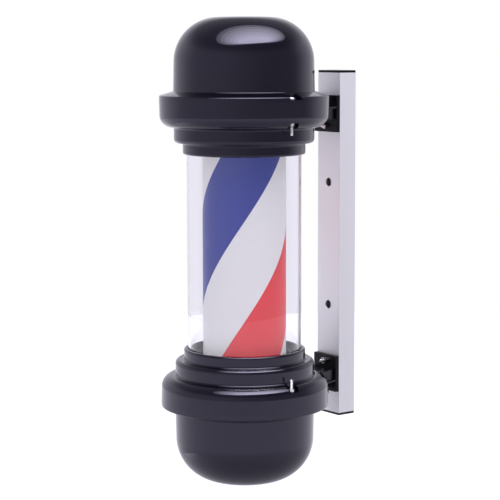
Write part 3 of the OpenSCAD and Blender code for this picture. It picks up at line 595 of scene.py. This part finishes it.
def dome_profile():
    """Outline of a dome: brim with a sloping top, fillet at its foot, round top and hollow."""
    foot_x = DOME_BASE_R + FOOT_R
    foot_z = brim_slope_z(foot_x) + FOOT_R / math.cos(math.radians(BRIM_SLOPE))
    outside = (
        [(BRIM_R, Z_SEAM)]
        + arc(BRIM_R - BRIM_EDGE_R, Z_BRIM - BRIM_EDGE_R, BRIM_EDGE_R, 0, 90 - BRIM_SLOPE, 8)
        + arc(foot_x, foot_z, FOOT_R, 270 - BRIM_SLOPE, 180, 10)
        + dome_curve(0, 72)
    )
    inside = list(reversed(dome_curve(SHELL_WALL, 36))) + [(DOME_BASE_R - SHELL_WALL, Z_SEAM)]
    return outside + inside


def lug_shape():
    """Rounded lug behind the brim that hangs down past the collar."""
    x, y = LUG_W / 2 - LUG_CORNER_R, LUG_Y - LUG_CORNER_R
    outline = (
        [(LUG_W / 2, LUG_ROOT_Y)]
        + arc(x, y, LUG_CORNER_R, 0, 90, 6)
        + arc(-x, y, LUG_CORNER_R, 90, 180, 6)
        + [(-LUG_W / 2, LUG_ROOT_Y)]
    )
    obj = new_object("lug", prism(outline, Z_SEAM - LUG_DROP, Z_SEAM + LUG_RISE))
    cut(obj, cylinder(COLLAR_R + 0.1, Z_SEAM - LUG_DROP - PAST, Z_SEAM + 0.02, 192))
    soften_edges(obj, LUG_EDGE_R, 3, 60)
    return mesh_shape(obj)


def head_pocket(end):
    """Room for a bolt head, open to the brim's edge on the upper dome only."""
    if end == "upper":
        outline = arc(BOLT_CIRCLE, 0, OPEN_POCKET_R, 90, 270, 32)
        outline = [(BRIM_R + 2, OPEN_POCKET_R)] + outline + [(BRIM_R + 2, -OPEN_POCKET_R)]
    else:
        outline = arc(BOLT_CIRCLE, 0, CLOSED_POCKET_R, 0, 354, 59)
    obj = new_object("pocket", prism(outline, Z_SEAM + HEAD_SEAT_DEPTH, Z_BRIM + 9))
    cut(obj, cylinder(DOME_BASE_R - 0.1, Z_SEAM, Z_TOP, 192))
    return mesh_shape(obj)


def vent_slot():
    """Upright slot with round ends, from inside the dome's wall outward."""
    half, side = VENT_H / 2 - VENT_W / 2, VENT_W / 2
    outline = arc(0, half, side, 0, 180, 12) + arc(0, -half, side, 180, 360, 12)
    return moved(prism(outline, DOME_BASE_R - 20, DOME_BASE_R + 10), ALONG_Y)


def dome(end, matrix):
    """Dome shell with its lug, bolt pockets and holes, and what only one end has."""
    obj = new_object(f"{end}_dome_shell", moved(lathe(dome_profile(), 256), matrix))
    add(obj, moved(lug_shape(), matrix))
    pocket = head_pocket(end)
    cut(obj, moved(pocket, matrix), moved(pocket, matrix @ turn(180, "Z")))
    for x, y in ((-BOLT_CIRCLE, 0), (BOLT_CIRCLE, 0), (0, LUG_SCREW_Y)):
        hole = cylinder(BOLT_HOLE_R, Z_SEAM - LUG_DROP - PAST, Z_BRIM + 4, 32)
        cut(obj, moved(hole, matrix @ shift(x, y, 0)))
    lug_seat = cylinder(BOLT_HEAD_R + 0.5, Z_SEAM + LUG_SEAT_DEPTH, Z_SEAM + 9, 48)
    cut(obj, moved(lug_seat, matrix @ shift(0, LUG_SCREW_Y, 0)))
    if end == "lower":
        fit_lower_dome(obj, matrix)
    else:
        for x in (-VENT_PITCH, 0, VENT_PITCH):
            cut(obj, moved(vent_slot(), matrix @ shift(x, 0, VENT_Z + VENT_H / 2)))
    return finished(obj, "lamp_frame", "black_abs", [f"{end}_dome"])


def fit_lower_dome(obj, matrix):
    """Boss for the cable gland, and the sunk seat of the two rocker switches."""
    at_gland = shift(0, 0, GLAND_Z) @ ALONG_Y
    boss = moved(cylinder(GLAND_BOSS_R, GLAND_FACE - 8, GLAND_FACE), at_gland)
    bore = moved(cylinder(GLAND_BORE_R, GLAND_FACE - 12, GLAND_FACE + 2), at_gland)
    seat_z = Z_TOP - SWITCH_SEAT_DEPTH
    seat_w, seat_d = 2 * SWITCH_X + 14, SWITCH_SEAT_D
    pad_outline = rounded_rectangle(seat_w + SWITCH_SEAT_RIM, seat_d + SWITCH_SEAT_RIM, 3)
    pad = prism(pad_outline, seat_z - 3, seat_z + 2.2)
    well = prism(rounded_rectangle(seat_w, seat_d, 2), seat_z, seat_z + 9)
    add(obj, moved(boss, matrix), moved(pad, matrix))
    cut(obj, moved(bore, matrix), moved(well, matrix))
    for side in (-1, 1):
        opening = prism(rounded_rectangle(*SWITCH_OPENING, 0.3), seat_z - 9, seat_z + 9)
        cut(obj, moved(opening, matrix @ shift(side * SWITCH_X, 0, 0)))


# ---- Clear tube and drum ----


def clear_tube():
    """Tube with polished, slightly broken edges."""
    chamfer = TUBE_CHAMFER
    inner = TUBE_R - TUBE_WALL
    half = [(TUBE_R, Z_TUBE - chamfer), (TUBE_R - chamfer, Z_TUBE), (inner + chamfer, Z_TUBE)]
    half.append((inner, Z_TUBE - chamfer))
    profile = half + [(r, -z) for r, z in reversed(half)]
    obj = new_object("clear_tube_polished", moved(lathe(profile, 256), LAMP))
    return finished(obj, "lamp_frame", "clear_acrylic", ["clear_tube"], 20)


def drum_sleeve():
    outer, inner, half = SLEEVE_HIGH.x, SLEEVE_HIGH.x - SLEEVE_WALL, DRUM_H / 2
    profile = [(outer, -half), (outer, half), (inner, half), (inner, -half)]
    obj = new_object("drum_core", moved(lathe(profile, 192), LAMP))
    return finished(obj, "drum", "drum_white", ["drum_sleeve"])


def film_strip(start):
    """One helical strip of film: rows of points up the drum, outer skin then inner."""
    skin = FILM_COLUMNS + 1
    width = 2 * skin
    verts, faces = [], []
    for row in range(FILM_ROWS + 1):
        z = DRUM_H * (row / FILM_ROWS - 0.5)
        for radius in (DRUM_R, DRUM_R - FILM_T):
            for column in range(skin):
                t = math.radians(start + BAND_ARC * column / FILM_COLUMNS + 360 * z / STRIPE_LEAD)
                verts.append((radius * math.cos(t), radius * math.sin(t), z))
    for row in range(FILM_ROWS):
        a, b = row * width, (row + 1) * width
        for i in range(FILM_COLUMNS):
            j = i + skin
            faces.append((a + i, a + i + 1, b + i + 1, b + i))
            faces.append((a + j + 1, a + j, b + j, b + j + 1))
        last = FILM_COLUMNS
        faces.append((a + last, a + last + skin, b + last + skin, b + last))
        faces.append((a + skin, a, b, b + skin))
    for base in (0, FILM_ROWS * width):
        for i in range(base, base + FILM_COLUMNS):
            faces.append((i, i + 1, i + skin + 1, i + skin))
    return verts, faces


def film(name, starts, slot, nodes):
    """Helical strips of printed film, whose edges follow the stripes."""
    obj = new_object(name, moved(joined(*map(film_strip, starts)), LAMP))
    return finished(obj, "drum", slot, nodes, 50)


# ---- Screws and nuts ----


def threaded_shank(radius, length, pitch):
    """Right-hand thread from z = 0 down to -length, with a pointed lead-in."""
    sides, per_turn = 24, 8
    depth = 0.54 * pitch
    rings = int(length / pitch * per_turn)
    verts, faces = [], []
    for k in range(rings + 1):
        z = -length * k / rings
        tip = max(0.0, 1 - (length + z) / (1.2 * pitch))
        for i in range(sides):
            phase = (-z / pitch + i / sides) % 1.0
            groove = 1 - abs(2 * phase - 1)
            r = radius - depth * min(1.0, max(groove, tip))
            t = 2 * math.pi * i / sides
            verts.append((r * math.cos(t), r * math.sin(t), z))
    for k in range(rings):
        for i in range(sides):
            a, b = k * sides + i, k * sides + (i + 1) % sides
            faces.append((b, a, a + sides, b + sides))
    faces.append(tuple(range(sides)))
    faces.append(tuple(reversed(range(rings * sides, (rings + 1) * sides))))
    return verts, faces


def cross_recess(size, depth):
    """Two tapered slots at right angles."""
    shapes = []
    for angle in (0, 90):
        w, t = size / 2, size / 9
        top = [(-w, -t), (w, -t), (w, t), (-w, t)]
        verts = [(x * 0.7, y * 0.7, -depth) for x, y in top] + [(x, y, 0.4) for x, y in top]
        faces = [(3, 2, 1, 0), (4, 5, 6, 7)]
        faces += [(i, (i + 1) % 4, 4 + (i + 1) % 4, 4 + i) for i in range(4)]
        shapes.append(moved((verts, faces), turn(angle, "Z")))
    return shapes


def pan_head(radius, height):
    """Domed head with a cross recess, standing on z = 0."""
    corner = height * 0.55
    profile = [(0, 0), (radius - 0.15, 0), (radius, 0.15)]
    profile += arc(radius - corner, height - corner, corner, 0, 80, 8)
    profile += [(radius * 0.3, height), (0, height)]
    obj = new_object("head", lathe(profile, 48))
    for slot_shape in cross_recess(radius * 1.15, height * 0.62):
        cut(obj, moved(slot_shape, shift(0, 0, height)))
    return mesh_shape(obj)


def m4_screw(length):
    """M4 pan-head screw, whose head stands on z = 0."""
    head = pan_head(BOLT_HEAD_R, BOLT_HEAD_H)
    return joined(head, threaded_shank(BOLT_R, length, BOLT_PITCH))


def hex_nut(corner_r, height, hole_r):
    """Hexagon nut with chamfered corners and a countersunk, grooved bore."""
    sides = 72
    flat = corner_r * math.cos(math.radians(30))
    round_r = flat * 1.03
    verts, faces, rings = [], [], []

    def ring(radius_at, height_at):
        start = len(verts)
        for i in range(sides):
            angle = 360 * i / sides
            t = math.radians(angle)
            r = radius_at(angle)
            verts.append((r * math.cos(t), r * math.sin(t), height_at(r, angle)))
        rings.append(range(start, start + sides))

    def hexagon(angle):
        return flat / math.cos(math.radians((angle % 60) - 30))

    def drop(angle):
        return max(0.0, hexagon(angle) - round_r) * math.tan(math.radians(30))

    ring(lambda a: hole_r + 0.35, lambda r, a: 0)
    ring(lambda a: min(hexagon(a), round_r), lambda r, a: 0)
    ring(hexagon, lambda r, a: drop(a))
    ring(hexagon, lambda r, a: height - drop(a))
    ring(lambda a: min(hexagon(a), round_r), lambda r, a: height)
    ring(lambda a: hole_r + 0.35, lambda r, a: height)
    ring(lambda a: hole_r, lambda r, a: height - 0.35)
    ring(lambda a: hole_r, lambda r, a: 0.35)
    for a, b in zip(rings, rings[1:] + rings[:1]):
        for i in range(sides):
            j = (i + 1) % sides
            faces.append((a[i], a[j], b[j], b[i]))
    return verts, faces


def fasteners():
    """All visible screws and nuts, threaded and chamfered."""
    collar_bolt = m4_screw(COLLAR_BOLT_L)
    lug_screw = m4_screw(LUG_SCREW_L)
    plate_bolt = m4_screw(PLATE_BOLT_L)
    nut = hex_nut(NUT_R, NUT_H, BOLT_R + 0.02)
    bolts, nuts, lug_screws, plate_bolts, plate_nuts = [], [], [], [], []
    for matrix in ENDS.values():
        for side, twist in ((-1, 20), (1, 65)):
            at_bolt = matrix @ shift(side * BOLT_CIRCLE, 0, 0)
            at_head = at_bolt @ shift(0, 0, Z_SEAM + HEAD_SEAT_DEPTH)
            at_nut = at_bolt @ shift(0, 0, NUT_SEAT_Z - NUT_H)
            bolts.append(moved(collar_bolt, at_head @ turn(twist, "Z")))
            nuts.append(moved(nut, at_nut @ turn(twist, "Z")))
        at_lug = matrix @ shift(0, LUG_SCREW_Y, Z_SEAM + LUG_SEAT_DEPTH)
        lug_screws.append(moved(lug_screw, at_lug))
        for z in PLATE_BOLT_Z:
            at_head = matrix @ shift(0, BAR_FRONT + BAR_WALL, z) @ ALONG_Y
            at_nut = matrix @ shift(0, ARM_ROOT - NUT_H, z) @ ALONG_Y
            plate_bolts.append(moved(plate_bolt, at_head))
            plate_nuts.append(moved(nut, at_nut @ turn(12, "Z")))
    groups = (
        ("collar_bolts_threaded", bolts, "collar_bolts"),
        ("collar_nuts_chamfered", nuts, "collar_nuts"),
        ("lug_screws_threaded", lug_screws, "lug_screws"),
        ("bracket_bolts_threaded", plate_bolts, "bracket_bolts"),
        ("bracket_nuts_chamfered", plate_nuts, "bracket_nuts"),
    )
    for name, shapes, node in groups:
        finished(new_object(name, joined(*shapes)), "lamp_frame", "bright_zinc", [node], 28)


# ---- Wall bar and brackets ----


def wall_bar():
    """Hollow section with rounded corners, its screw openings and cable holes."""
    width = BAR_HIGH.x - BAR_LOW.x
    depth = BAR_HIGH.y - BAR_LOW.y
    low, high = BAR_LOW.z, BAR_HIGH.z
    middle = shift(0, (BAR_LOW.y + BAR_HIGH.y) / 2, 0)
    section = prism(rounded_rectangle(width, depth, 1.0), low, high)
    obj = new_object("bar_section", moved(section, middle))
    hollow = rounded_rectangle(width - 2 * BAR_WALL, depth - 2 * BAR_WALL, 0.5)
    cut(obj, moved(prism(hollow, low - PAST, high + PAST), middle))
    front = (BAR_LOW.y - PAST, BAR_LOW.y + BAR_WALL + PAST)
    back = (BAR_HIGH.y - BAR_WALL - PAST, BAR_HIGH.y + PAST)
    holes = []
    for z in (-WALL_SCREW_Z, WALL_SCREW_Z):
        holes.append((0, z, ACCESS_R, front))
        holes.append((0, z, WALL_SCREW_R, back))
    for side in (-1, 1):
        for z in PLATE_BOLT_Z:
            holes.append((0, side * z, BOLT_HOLE_R, front))
            holes.append((0, side * z, ACCESS_R, back))
        holes.append((CABLE_HOLE_X, side * BRACKET_Z, CABLE_HOLE_R, front))
    for x, z, radius, wall in holes:
        cut(obj, moved(cylinder(radius, *wall, 48), shift(x, 0, z) @ ALONG_Y))
    soften_edges(obj, 0.25, 2, 60)
    return finished(obj, "lamp_frame", "bar_aluminium", ["wall_bar"], 25)


def bar_cap(end, sign):
    """Moulded end cap with a rounded flange and a hollow plug."""
    width, depth = CAP_HIGH.x - CAP_LOW.x, CAP_HIGH.y - CAP_LOW.y
    flange_low, flange_high = BAR_HIGH.z, CAP_HIGH.z
    matrix = shift(0, (CAP_LOW.y + CAP_HIGH.y) / 2, 0) @ Matrix.Scale(sign, 4, (0, 0, 1))
    flange = prism(rounded_rectangle(width, depth, 1.4), flange_low, flange_high)
    obj = new_object(f"bar_{end}_cap_moulding", moved(flange, matrix))
    soften_edges(obj, 0.5, 3, 60)
    plug_w, plug_d = width - 2 * BAR_WALL - PLUG_GAP, depth - 2 * BAR_WALL - PLUG_GAP
    plug = prism(rounded_rectangle(plug_w, plug_d, 0.6), flange_low - PLUG_H, flange_low + 0.5)
    inner = rounded_rectangle(plug_w - 2 * PLUG_WALL, plug_d - 2 * PLUG_WALL, 0.4)
    hollow = prism(inner, flange_low - (PLUG_H + PAST), flange_low)
    add(obj, moved(plug, matrix))
    cut(obj, moved(hollow, matrix))
    return finished(obj, "lamp_frame", "black_nylon", [f"bar_{end}_cap"])


def arm_outline(inset):
    """Plan of a bracket's arm, which flares from the plate to the collar's curve."""
    saddle_r = COLLAR_R + SADDLE_GAP
    half_angle = math.degrees(math.asin((ARM_W / 2 - inset) / saddle_r)) - 0.5
    root_x = LUG_W / 2 - inset
    outline = [(root_x - 1, ARM_ROOT + 2), (1 - root_x, ARM_ROOT + 2), (-root_x, ARM_ROOT - 0.5)]
    outline += arc(0, 0, saddle_r, 90 + half_angle, 90 - half_angle, 24)
    outline.append((root_x, ARM_ROOT - 0.5))
    outline.reverse()
    return outline


def bracket(end, matrix):
    """Plate on the bar with a flanged arm that hugs the collar."""
    arm_low = BRACKET_Z - ARM_H / 2
    arm_top = arm_low + ARM_H
    half_w = LUG_W / 2
    plate = prism(
        [(-half_w, ARM_ROOT), (half_w, ARM_ROOT), (half_w, BAR_FRONT), (-half_w, BAR_FRONT)],
        BRACKET_LOW.z, BRACKET_HIGH.z,
    )
    obj = new_object(f"{end}_bracket_moulding", moved(plate, matrix))
    add(obj, moved(prism(arm_outline(ARM_RECESS), arm_low, arm_top - 0.5), matrix))
    add(obj, moved(prism(arm_outline(0.0), arm_top - ARM_FLANGE_T, arm_top), matrix))
    boss = cylinder(ARM_BOSS_R, arm_low + 2, Z_SEAM - LUG_DROP - 0.05, 48)
    add(obj, moved(boss, matrix @ shift(0, LUG_SCREW_Y, 0)))
    soften_edges(obj, 0.5, 3, 50)
    for z in PLATE_BOLT_Z:
        hole = cylinder(BOLT_HOLE_R, ARM_ROOT - PAST, BAR_FRONT + PAST, 32)
        cut(obj, moved(moved(hole, shift(0, 0, z) @ ALONG_Y), matrix))
    screw_hole = cylinder(BOLT_R + 0.05, Z_SEAM - ARM_SCREW_DEPTH, Z_SEAM, 32)
    cut(obj, moved(screw_hole, matrix @ shift(0, LUG_SCREW_Y, 0)))
    return finished(obj, "lamp_frame", "black_nylon", [f"{end}_bracket"])


# ---- The object ----

for end_name, end_matrix in ENDS.items():
    collar(end_name, end_matrix)
    dome(end_name, end_matrix)
    bracket(end_name, end_matrix)
clear_tube()
drum_sleeve()
film("blue_film", [BLUE_START], "stripe_blue", ["blue_band"])
film("red_film", [BLUE_START + 2 * BAND_ARC], "stripe_red", ["red_band"])
film("white_film", [BLUE_START + BAND_ARC, BLUE_START + 3 * BAND_ARC], "drum_white", [])
fasteners()
wall_bar()
bar_cap("top", 1)
bar_cap("bottom", -1)


# ---- Camera ----

CAMERA_AZIMUTH, CAMERA_YAW = 53.7, -0.1875
CAMERA_PITCH, CAMERA_ROLL = 6.9116, -0.12
CAMERA_DISTANCE, CAMERA_HEIGHT = 2.017, 0.2457
FOCAL_PIXELS, FRAME_PIXELS, SENSOR = 1728.5, 500, 36.0


def camera():
    """Camera at the photograph's angle, aimed a little past the lamp's axis."""
    data = bpy.data.cameras.new("camera")
    data.sensor_width = SENSOR
    data.lens = FOCAL_PIXELS / FRAME_PIXELS * SENSOR
    obj = bpy.data.objects.new("camera", data)
    bpy.context.scene.collection.objects.link(obj)
    azimuth = math.radians(CAMERA_AZIMUTH)
    heading = math.radians(CAMERA_AZIMUTH + CAMERA_YAW)
    pitch = math.radians(CAMERA_PITCH)
    forward = Vector((-math.sin(heading), math.cos(heading), 0)) * math.cos(pitch)
    forward.z = -math.sin(pitch)
    aim = forward.to_track_quat("-Z", "Y").to_matrix().to_4x4()
    place = (math.sin(azimuth) * CAMERA_DISTANCE, AXIS_Y * MM - math.cos(azimuth) * CAMERA_DISTANCE)
    roll = Matrix.Rotation(math.radians(CAMERA_ROLL), 4, "Z")
    obj.matrix_world = Matrix.Translation((*place, CAMERA_HEIGHT)) @ aim @ roll
    bpy.context.scene.camera = obj


# ---- Studio ----

# Levels are brightness. START and END are the parts of a direction, from -1 to 1, between which
# the surroundings change: FRONT toward the camera, TOP and LOW upward.
STUDIO_TINT = (0.925, 0.90, 1.0)
FRONT_START, FRONT_END, BACK_LEVEL = -0.55, 0.1, 0.92
TOP_START, TOP_END, TOP_LEVEL = 0.3, 0.65, 0.4
SIDE_REACH, LEFT_LEVEL, RIGHT_LEVEL = 0.9, 0.7, 0.34
LOW_START, LOW_END, LOW_LEVEL = -0.2, 0.02, 0.95

FLOOR_Z, FLOOR_R, FLOOR_T = -1.2, 7.0, 0.02
FLOOR_DIM_R, FLOOR_BRIGHT_R, FLOOR_DIM, FLOOR_BRIGHT = 1.3, 3.5, 0.26, 0.95

# NEAR, FAR and WIDTH each hold the top layer's value and its change down to the lowest layer.
SOFTBOX_LAYERS, SOFTBOX_DIFFUSE_LAYERS, SOFTBOX_HEADING, SOFTBOX_LEVEL = 6, 1, 78.2, 1.9
SOFTBOX_NEAR, SOFTBOX_FAR, SOFTBOX_WIDTH = (-0.35, 1.05), (1.46, -0.12), (3.1, -1.6)
SOFTBOX_Z, SOFTBOX_SPACING = 1.75, 0.01
FILL_AIM_Z = -0.05


def floor():
    """Pale round floor well below the lamp, dim under it and bright around."""
    verts, faces = cylinder(FLOOR_R / MM, (FLOOR_Z - FLOOR_T) / MM, FLOOR_Z / MM, 96)
    obj = new_object("studio_floor", (verts, faces))
    paint = Paint("studio_floor", (0.5, 0.5, 0.5), 0.8)
    distance = paint.nodes.new("ShaderNodeVectorMath")
    distance.operation = "LENGTH"
    paint.links.new(paint.where, distance.inputs[0])
    glow = paint.ranged(distance.outputs["Value"], FLOOR_DIM_R, FLOOR_BRIGHT_R, FLOOR_DIM, FLOOR_BRIGHT)
    level = paint.nodes.new("ShaderNodeMath")
    level.operation = "MAXIMUM"
    paint.links.new(glow, level.inputs[0])
    paint.links.new(paint.nodes.new("ShaderNodeLightPath").outputs["Is Camera Ray"], level.inputs[1])
    paint.shader.inputs["Emission Color"].default_value = (*STUDIO_TINT, 1)
    paint.links.new(level.outputs["Value"], paint.shader.inputs["Emission Strength"])
    obj.data.materials.append(paint.material)


def oval_light(name, place, size, radiance):
    """Oval area light, facing straight down. Sizes are in metres, radiance is its brightness."""
    data = bpy.data.lights.new(name, "AREA")
    data.shape = "ELLIPSE"
    data.size, data.size_y = size
    data.energy = math.pi * (math.pi / 4 * size[0] * size[1]) * radiance
    data.color = STUDIO_TINT
    obj = bpy.data.objects.new(name, data)
    bpy.context.scene.collection.objects.link(obj)
    obj.matrix_world = Matrix.Translation(place)
    return obj


def overhead_softbox():
    """Ovals stacked under each other, so that the reflection fades softly toward its upper edge."""
    heading = math.radians(SOFTBOX_HEADING)
    for layer in range(SOFTBOX_LAYERS):
        step = layer / (SOFTBOX_LAYERS - 1)
        near_edge = SOFTBOX_NEAR[0] + SOFTBOX_NEAR[1] * step
        far_edge = SOFTBOX_FAR[0] + SOFTBOX_FAR[1] * step
        away = (near_edge + far_edge) / 2
        size = (SOFTBOX_WIDTH[0] + SOFTBOX_WIDTH[1] * step, far_edge - near_edge)
        x, y = math.sin(heading) * away, AXIS_Y * MM - math.cos(heading) * away
        place = (x, y, SOFTBOX_Z - SOFTBOX_SPACING * layer)
        light = oval_light(f"overhead_{layer}", place, size, SOFTBOX_LEVEL)
        light.matrix_world = light.matrix_world @ turn(SOFTBOX_HEADING, "Z")
        light.visible_diffuse = layer < SOFTBOX_DIFFUSE_LAYERS


def fill_light(name, place, size, radiance):
    """Soft fill aimed at the bar, which no reflection shows and the tube doesn't pass on."""
    light = oval_light(name, place, size, radiance)
    toward = Vector((0, BAR_LOW.y * MM, FILL_AIM_Z)) - Vector(place)
    aim = toward.to_track_quat("-Z", "Y").to_matrix().to_4x4()
    light.matrix_world = Matrix.Translation(place) @ aim
    light.visible_glossy = False
    light.visible_transmission = False


def studio_world():
    """Pale surroundings: brightest behind and below, dimmer in front and at the right, dim overhead."""
    world = bpy.data.worlds.new("studio")
    bpy.context.scene.world = world
    world.use_nodes = True
    nodes, links = world.node_tree.nodes, world.node_tree.links
    background = nodes["Background"]
    direction = nodes.new("ShaderNodeTexCoord").outputs["Generated"]

    def value_node(kind, operation, *inputs):
        node = nodes.new(kind)
        node.operation = operation
        for socket, item in zip(node.inputs, inputs):
            if isinstance(item, (int, float, tuple)):
                socket.default_value = item
            else:
                links.new(item, socket)
        return node

    def ranged(value, *limits):
        node = nodes.new("ShaderNodeMapRange")
        node.interpolation_type = "SMOOTHSTEP"
        for key, item in zip(RANGE_SOCKETS, limits):
            if isinstance(item, (int, float)):
                node.inputs[key].default_value = item
            else:
                links.new(item, node.inputs[key])
        links.new(value, node.inputs["Value"])
        return node.outputs["Result"]

    def along(axis):
        """How far a direction points along an axis, from -1 to 1."""
        node = value_node("ShaderNodeVectorMath", "DOT_PRODUCT", direction, axis)
        return node.outputs["Value"]

    azimuth = math.radians(CAMERA_AZIMUTH)
    front = (math.sin(azimuth), -math.cos(azimuth), 0.0)
    facing = along(front)
    rising = along((0.0, 0.0, 1.0))
    top_light = ranged(rising, TOP_START, TOP_END, 1.0, TOP_LEVEL)
    right = (math.cos(azimuth), math.sin(azimuth), 0.0)
    aside = along(right)
    side_light = ranged(aside, -SIDE_REACH, SIDE_REACH, LEFT_LEVEL, RIGHT_LEVEL)
    low_light = ranged(rising, LOW_START, LOW_END, LOW_LEVEL, 0.0)
    level = ranged(facing, FRONT_START, FRONT_END, BACK_LEVEL, side_light)
    for operation, more in (("MULTIPLY", top_light), ("MAXIMUM", low_light)):
        level = value_node("ShaderNodeMath", operation, level, more).outputs["Value"]
    tint = value_node("ShaderNodeVectorMath", "SCALE", STUDIO_TINT)
    links.new(level, tint.inputs["Scale"])
    seen = nodes.new("ShaderNodeMix")
    seen.data_type = "RGBA"
    seen.inputs[7].default_value = (1.0, 1.0, 1.0, 1.0)
    links.new(nodes.new("ShaderNodeLightPath").outputs["Is Camera Ray"], seen.inputs[0])
    links.new(tint.outputs["Vector"], seen.inputs[6])
    links.new(seen.outputs[2], background.inputs["Color"])
    background.inputs["Strength"].default_value = 1.0


bpy.context.scene.view_settings.view_transform = "Standard"
camera()
floor()
overhead_softbox()
fill_light("left_fill", (-1.9, -1.3, -0.7), (1.4, 1.6), 5.4)
fill_light("low_fill", (1.6, 0.2, -1.1), (0.8, 0.8), 1.6)
studio_world()
